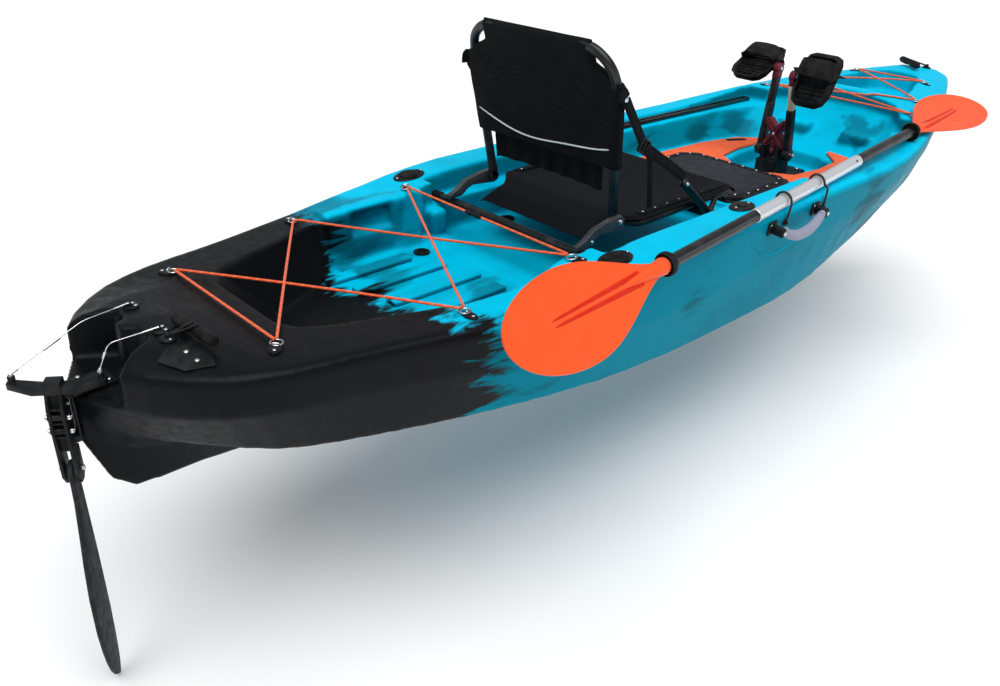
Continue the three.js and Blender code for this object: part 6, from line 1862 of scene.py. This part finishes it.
        pedal = Shape(Finish.RUBBER, Finish.BLACK)
        pedal.slab(outline(1.0), place @ Matrix.Translation((0, 0, low)), 0.008, 0.002)
        rim = [Vector((a, b, 0)) for a, b in outline(0.965)]
        wall = [place @ (p + UP * (seat + 0.005)) for p in divided([*rim, rim[0]], 0.01)[:-1]]
        pedal.tube(wall, 0.0105, 10, closed=True, flat=0.28, up=None)
        pedal.use(Finish.BLACK)
        for k in range(11):
            y = -0.86 + 0.172 * k
            inside = wide * (0.41 if abs(y) < 0.7 else 0.3)
            pedal.box((x - inside, y * half - 0.0022, seat - 0.001),
                      (x + inside, y * half + 0.0022, seat + 0.0036), 0.0008, place)
        for k in range(5):
            i = (k - 2) * wide * 0.17
            pedal.box((x + i - 0.0018, -half * 0.84, seat - 0.001),
                      (x + i + 0.0018, half * 0.9, seat + 0.0024), 0.0006, place)
        pedal.use(Finish.RUBBER)
        outer = wide / 2 - 0.001
        arch = [(-outer, seat - 0.004), (-outer, high - 0.016), (-outer * 0.72, high - 0.003), (0, high),
                (outer * 0.72, high - 0.003), (outer, high - 0.016), (outer, seat - 0.004)]
        middle = half * 0.3
        line = divided(rounded([(x + i, middle, z) for i, z in arch], 0.022, 6), 0.008)
        broad = (place.to_3x3() @ Vector((0, 1, 0))).cross(ACROSS)
        pedal.tube([place @ p for p in line], 0.026, 8, flat=0.075, up=broad)
        centre = place @ Vector((x, 0, 0))
        pedal.rod(centre - ACROSS * wide * 0.45, centre + ACROSS * wide * 0.45, 0.013, sides=32, bevel=0.002)
        pedal.piece(f"foot_pedal_{side}", f"pedal_{side}", f"pedal_{side}", slot="black_plastic")


@dataclass
class Handles:
    """The side carry handles: black end brackets and a thick grey grip."""

    surface: HullSurface
    ys: tuple[float, float] = (-0.096, 0.088)
    shares: tuple[float, float] = (0.8986, 0.9159)
    foot: float = 0.014
    stand: float = 0.029

    def seat(self, s: int, y: float, z: float) -> tuple[Vector, Vector]:
        """Gives the point and the normal of a foot on the hull's side.

        Args:
            s: the sign of the side's X.
            y: the foot's place along.
            z: the foot's height.

        Returns:
            The point just clear of the hull, and the hull's normal there.
        """

        def probe(j: float, k: float) -> Vector:
            """Feels the side near the foot."""
            return self.surface.touch((s * 2 * HALF_BEAM, y + j * self.foot, z + k * self.foot), (-s, 0, 0))

        fore, aft, high, low = [probe(j, k) for j, k in ((1, 0), (-1, 0), (0, 1), (0, -1))]
        corners = [probe(j, k) for j in (-0.7, 0.7) for k in (-0.7, 0.7)]
        point = (fore + aft + high + low) / 4
        normal = (fore - aft).cross(high - low).normalized() * s
        lift = max((p - point).dot(normal) for p in (fore, aft, high, low, probe(0, 0), *corners))
        return point + normal * (lift + GAP), normal

    def build(self) -> None:
        """Builds both handles."""
        for side, s in SIDES.items():
            seats = [self.seat(s, y, share * DEPTH) for y, share in zip(self.ys, self.shares)]
            pivots = [point + normal * self.stand for point, normal in seats]
            way = (pivots[1] - pivots[0]).normalized()
            for end, (point, normal), pivot, t in zip(("aft", "fore"), seats, pivots, (1, -1)):
                bracket = Shape(Finish.BLACK, Finish.STEEL)
                place = framed((way, normal.cross(way), normal), point)
                bracket.box((-0.016, -0.017, 0), (0.016, 0.017, 0.006), 0.003, place, 3)
                bracket.box((-0.0075, -0.011, 0.002), (0.0075, 0.011, self.stand + 0.009), 0.0035, place, 3)
                bracket.rod(pivot, pivot + way * t * 0.022, 0.0035, sides=20)
                bracket.use(Finish.STEEL).screw(pivot + normal * 0.009, normal, 0.0048)
                for k in (-1, 1):
                    bracket.screw(place @ Vector((k * 0.0115, -k * 0.0115, 0.006)), normal, 0.0026)
                bracket.piece(f"handle_end_{end}_{side}", "kayak", f"handle_bracket_{end}_{side}")
            self._grip(side, pivots, way)

    def _grip(self, side: str, pivots: Sequence[Vector], way: Vector) -> None:
        """Builds the crescent grip that hangs between two brackets.

        Args:
            side: port or starboard.
            pivots: the brackets' pivots, the aft one first.
            way: the direction from the aft pivot to the other.
        """

        def at(i: int, along_it: float, drop: float) -> Vector:
            """Gives a point of the grip's line."""
            out = Vector((SIDES[side] * drop * 0.12, 0, -drop))
            return pivots[i] + way * (-1 if i else 1) * along_it + out

        near, outer, drop = 0.0066, 0.0216, 0.026
        marks = [at(0, near + 0.004, 0.0), at(0, outer + 0.01, drop * 0.5), at(0, outer + 0.046, drop),
                 at(1, outer + 0.046, drop), at(1, outer + 0.01, drop * 0.5), at(1, near + 0.004, 0.0)]
        line = divided(rounded(marks, 0.03, 8), 0.006)
        total = len(line) - 1
        sizes = [0.0085 + 0.0048 * math.sin(math.pi * k / total) ** 0.6 for k in range(total + 1)]
        grip = Shape(Finish.GRIP, Finish.BLACK)
        grip.tube(line, sizes, 24)
        for pivot, t in zip(pivots, (1, -1)):
            grip.rod(pivot + way * t * near, pivot + way * t * outer, 0.008, sides=28, bevel=0.0015)
        grip.piece(f"grip_{side}", f"handle_{side}", f"handle_grip_{side}", sharp=60)


@dataclass
class Paddle:
    """The two-piece paddle lashed along the starboard gunwale, and its ties."""

    surface: HullSurface
    handles: Handles
    length: float = 2.2
    sleeve: float = 0.53
    sleeve_radius: float = 0.016
    shaft: float = 0.0145
    ring_at: float = 0.485
    blade: float = 0.45
    wide: float = 0.2
    tilt: float = math.radians(50)
    feather: float = math.radians(-38)
    dip: float = 0.006
    cord: float = 0.003
    button: float = 0.0044

    def line(self) -> tuple[Vector, Vector]:
        """Reads the shaft's line off the two packed shaft halves.

        Returns:
            The shaft's middle and its direction.
        """
        ends = []
        for node in ("paddle_shaft_aft", "paddle_shaft_fore"):
            low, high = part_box(node)
            ends.append((low + high) / 2)
        return (ends[0] + ends[1]) / 2, (ends[1] - ends[0]).normalized()

    def build(self) -> None:
        """Builds the paddle and its ties."""
        middle, way = self.line()
        turn = Vector((0, 1, 0)).rotation_difference(way).to_matrix().to_4x4()
        place = Matrix.Translation(middle) @ turn @ Matrix.Rotation(self.tilt, 4, "Y")
        lathe = place @ Matrix.Rotation(-math.pi / 2, 4, "X")
        half, r = self.sleeve / 2, self.sleeve_radius
        tube = Shape(Finish.SILVER, Finish.BLACK)
        tube.lathe([(self.shaft, -half), (r - 0.0008, -half), (r, -half + 0.001), (r, half - 0.001),
                    (r - 0.0008, half), (self.shaft, half)], lathe, 48)
        tube.use(Finish.BLACK)
        tube.ball(place @ Vector((0, half - 0.03, r)), 0.0035, 0.5, place.to_3x3() @ UP)
        tube.piece("sleeve", "paddle", "paddle_sleeve")
        neck = self.length / 2 - self.blade
        for end, t in (("fore", 1), ("aft", -1)):
            inner = half + GAP
            shaft = Shape(Finish.TUBE, Finish.CAST_AND_SHAFT_GLINT)
            out = lathe @ Matrix.Diagonal((1, 1, t, 1)) if t > 0 else lathe @ Matrix.Rotation(math.pi, 4, "X")
            shaft.lathe([(0, inner - 0.05), (self.shaft - 0.001, inner - 0.05), (self.shaft - 0.001, inner),
                         (self.shaft, inner + 0.0008), (self.shaft, neck - 0.0006), (0, neck - 0.0006)],
                        out, 40)
            # Painted reflection: a thin strip of the paler cast finish along the shaft stands in for the grey
            # reflection along its top.
            shaft.use(Finish.CAST_AND_SHAFT_GLINT)
            painted_glint_frame = place @ Matrix.Rotation(math.radians(12), 4, "Y")
            low, high = sorted((t * (inner + 0.01), t * (neck - 0.04)))
            shaft.box((-0.0022, low, self.shaft - 0.0008), (0.0022, high, self.shaft + 0.0004), 0, painted_glint_frame)
            shaft.piece(f"shaft_{end}", "paddle", f"paddle_shaft_{end}")
            self._blade(end, t, place, out, neck)
        self._ties(middle, way)

    def _blade(self, end: str, t: int, place: Matrix, out: Matrix, neck: float) -> None:
        """Builds one blade: a dished sheet with its root, ridge and two strips, and the drip ring.

        Args:
            end: fore or aft.
            t: the sign of that end along the shaft.
            place: the paddle's frame.
            out: the frame whose Z runs out along the shaft to this end.
            neck: how far from the paddle's middle the blade begins.
        """
        blade = Shape(Finish.ORANGE, Finish.GROOVE, Finish.RUBBER)
        across, long = 28, 56
        bmesh.ops.create_grid(blade.bm, x_segments=across, y_segments=long, size=0.5)
        turned = place @ Matrix.Rotation(self.feather if t > 0 else 0.0, 4, "Y")
        half, widest = self.wide / 2, 0.6

        def dish(p: Vector) -> Vector:
            """Shapes a point of the flat grid to the dished blade."""
            q, u = p.y + 0.5, p.x * 2
            past = max(0.0, (q - widest) / (1 - widest))
            v = q if q < widest else widest + (1 - widest) * math.sin(past * math.pi / 2)
            grown = 0.14 + 0.86 * math.sin(math.pi / 2 * min(1.0, v / widest)) ** 1.35
            tip = math.sqrt(max(0.0, 1 - max(0.0, (v - widest) / (1 - widest)) ** 2))
            x = u * half * (0.93 if u < 0 else 1.0) * min(grown, max(0.03, tip))
            hollow = 0.008 * (x / half) ** 2 * min(1.0, v / 0.25) - self.dip * math.sin(math.pi * v)
            return turned @ Vector((x, t * (neck + v * self.blade), hollow))

        blade.move(dish)
        bmesh.ops.recalc_face_normals(blade.bm, faces=blade.bm.faces[:])
        facing = turned.to_3x3() @ UP
        steps, thick = 24, 0.0042
        below = math.copysign(thick / 2, -sum(face.normal.dot(facing) for face in blade.bm.faces))
        bmesh.ops.solidify(blade.bm, geom=blade.bm.faces[:], thickness=thick)
        blade._dress()

        def on_blade(x: float, v: float) -> Vector:
            """Gives a point in the middle of the blade's thickness."""
            dip = self.dip * math.sin(math.pi * v)
            return turned @ Vector((x, t * (neck + v * self.blade), below - dip))

        shares = [k / steps for k in range(steps + 1)]
        root = [on_blade(0, -0.03 + 0.3 * u) for u in shares]
        blade.tube(root, [0.0165 * (1 - u) ** 0.8 + 0.0025 for u in shares], 20, flat=0.85)
        ridge = [on_blade(0, 0.2 + 0.58 * u) for u in shares]
        blade.tube(ridge, [0.0042 - 0.0014 * u for u in shares], 12)
        blade.lathe([(self.shaft + GAP, neck - 0.04), (self.shaft + 0.003, neck - 0.04),
                     (self.shaft + 0.0034, neck - 0.005), (self.shaft + 0.002, neck + 0.01),
                     (0, neck + 0.016)], out, 36)
        blade.use(Finish.GROOVE)
        for s in (-1, 1):
            line = [on_blade(s * (0.0108 - 0.0052 * u), 0.13 + 0.66 * u) for u in shares]
            sizes = [(0.0068 - 0.0023 * u) * min(1.0, (steps * (1 - u) + 0.3) / 5) ** 0.5 for u in shares]
            blade.tube(line, sizes, 10, flat=0.6, up=facing)
        blade.use(Finish.RUBBER)
        at = self.length / 2 - self.ring_at + 0.004
        blade.lathe([(self.shaft + GAP, at - 0.012), (self.shaft + 0.003, at - 0.013),
                     (self.shaft + 0.0042, at - 0.004), (0.0245, at - 0.008), (0.0265, at - 0.004),
                     (0.0262, at + 0.004), (0.024, at + 0.009), (self.shaft + 0.005, at + 0.004),
                     (self.shaft + 0.0034, at + 0.009), (self.shaft + GAP, at + 0.009)], out, 44)
        blade.piece(f"paddle_face_{end}", "paddle", f"paddle_blade_{end}", sharp=50)

    def _ties(self, middle: Vector, way: Vector) -> None:
        """Builds the two cord loops over the sleeve, each between a deck button and a side button.

        Args:
            middle: the shaft's middle.
            way: the shaft's direction.
        """
        for end, y in (("aft", -0.04), ("fore", 0.128)):
            centre = middle + way * ((y - middle.y) / way.y)
            reach = self.sleeve_radius + self.cord + 0.0022
            turns = [math.pi * (1 - k / 10) for k in range(11)]
            arc = [centre + Vector((reach * math.cos(a), 0, reach * math.sin(a))) for a in turns]
            place = self.surface.seat(centre.x - reach - 0.009, centre.y, 0.009)
            point, normal = self.handles.seat(1, centre.y, self.handles.shares[0] * DEPTH)
            up = place.to_3x3() @ UP
            ends = [place.translation + up * self.button, point + normal * self.button]
            x = max(centre.x + reach + 0.001, point.x + self.cord + self.button)
            corners = [ends[0], *arc, Vector((x, centre.y, centre.z - 0.005)), ends[1]]
            loop = Shape(Finish.TIE, Finish.BLACK, Finish.STEEL)
            loop.tube(divided(rounded(corners, 0.006, 3), 0.006), self.cord, 12)
            loop.use(Finish.BLACK)
            for base, facing in ((place.translation, up), (point, normal)):
                loop.lathe([(0, 0), (0.0092, 0), (0.0092, 0.002), (0.007, 0.0042), (0, 0.005)],
                           Matrix.Translation(base) @ turn_to(facing), 24)
                loop.ball(base + facing * 0.0056, 0.0046)
            loop.piece(f"tie_{end}", "kayak", f"paddle_tie_{end}", sharp=60)


def main() -> None:
    """Builds the camera, the studio and every piece of the boat."""
    logging.basicConfig(level=logging.INFO, format="%(name)s %(message)s")
    PhotoCamera().build()
    surface = HullSurface()
    handles = Handles(surface)
    parts = (Studio(), Lashings(surface, Eyes()), Rudder(surface), Hull(surface), Deck(surface), Chair(),
             Drive(), handles, Paddle(surface, handles))
    for part in parts:
        part.build()
        log.info("built %s", type(part).__name__)
    for name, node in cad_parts.items():
        if not node.hide_render:
            log.info("still shown as its solid: %s", name)


if __name__ == "__main__":
    main()
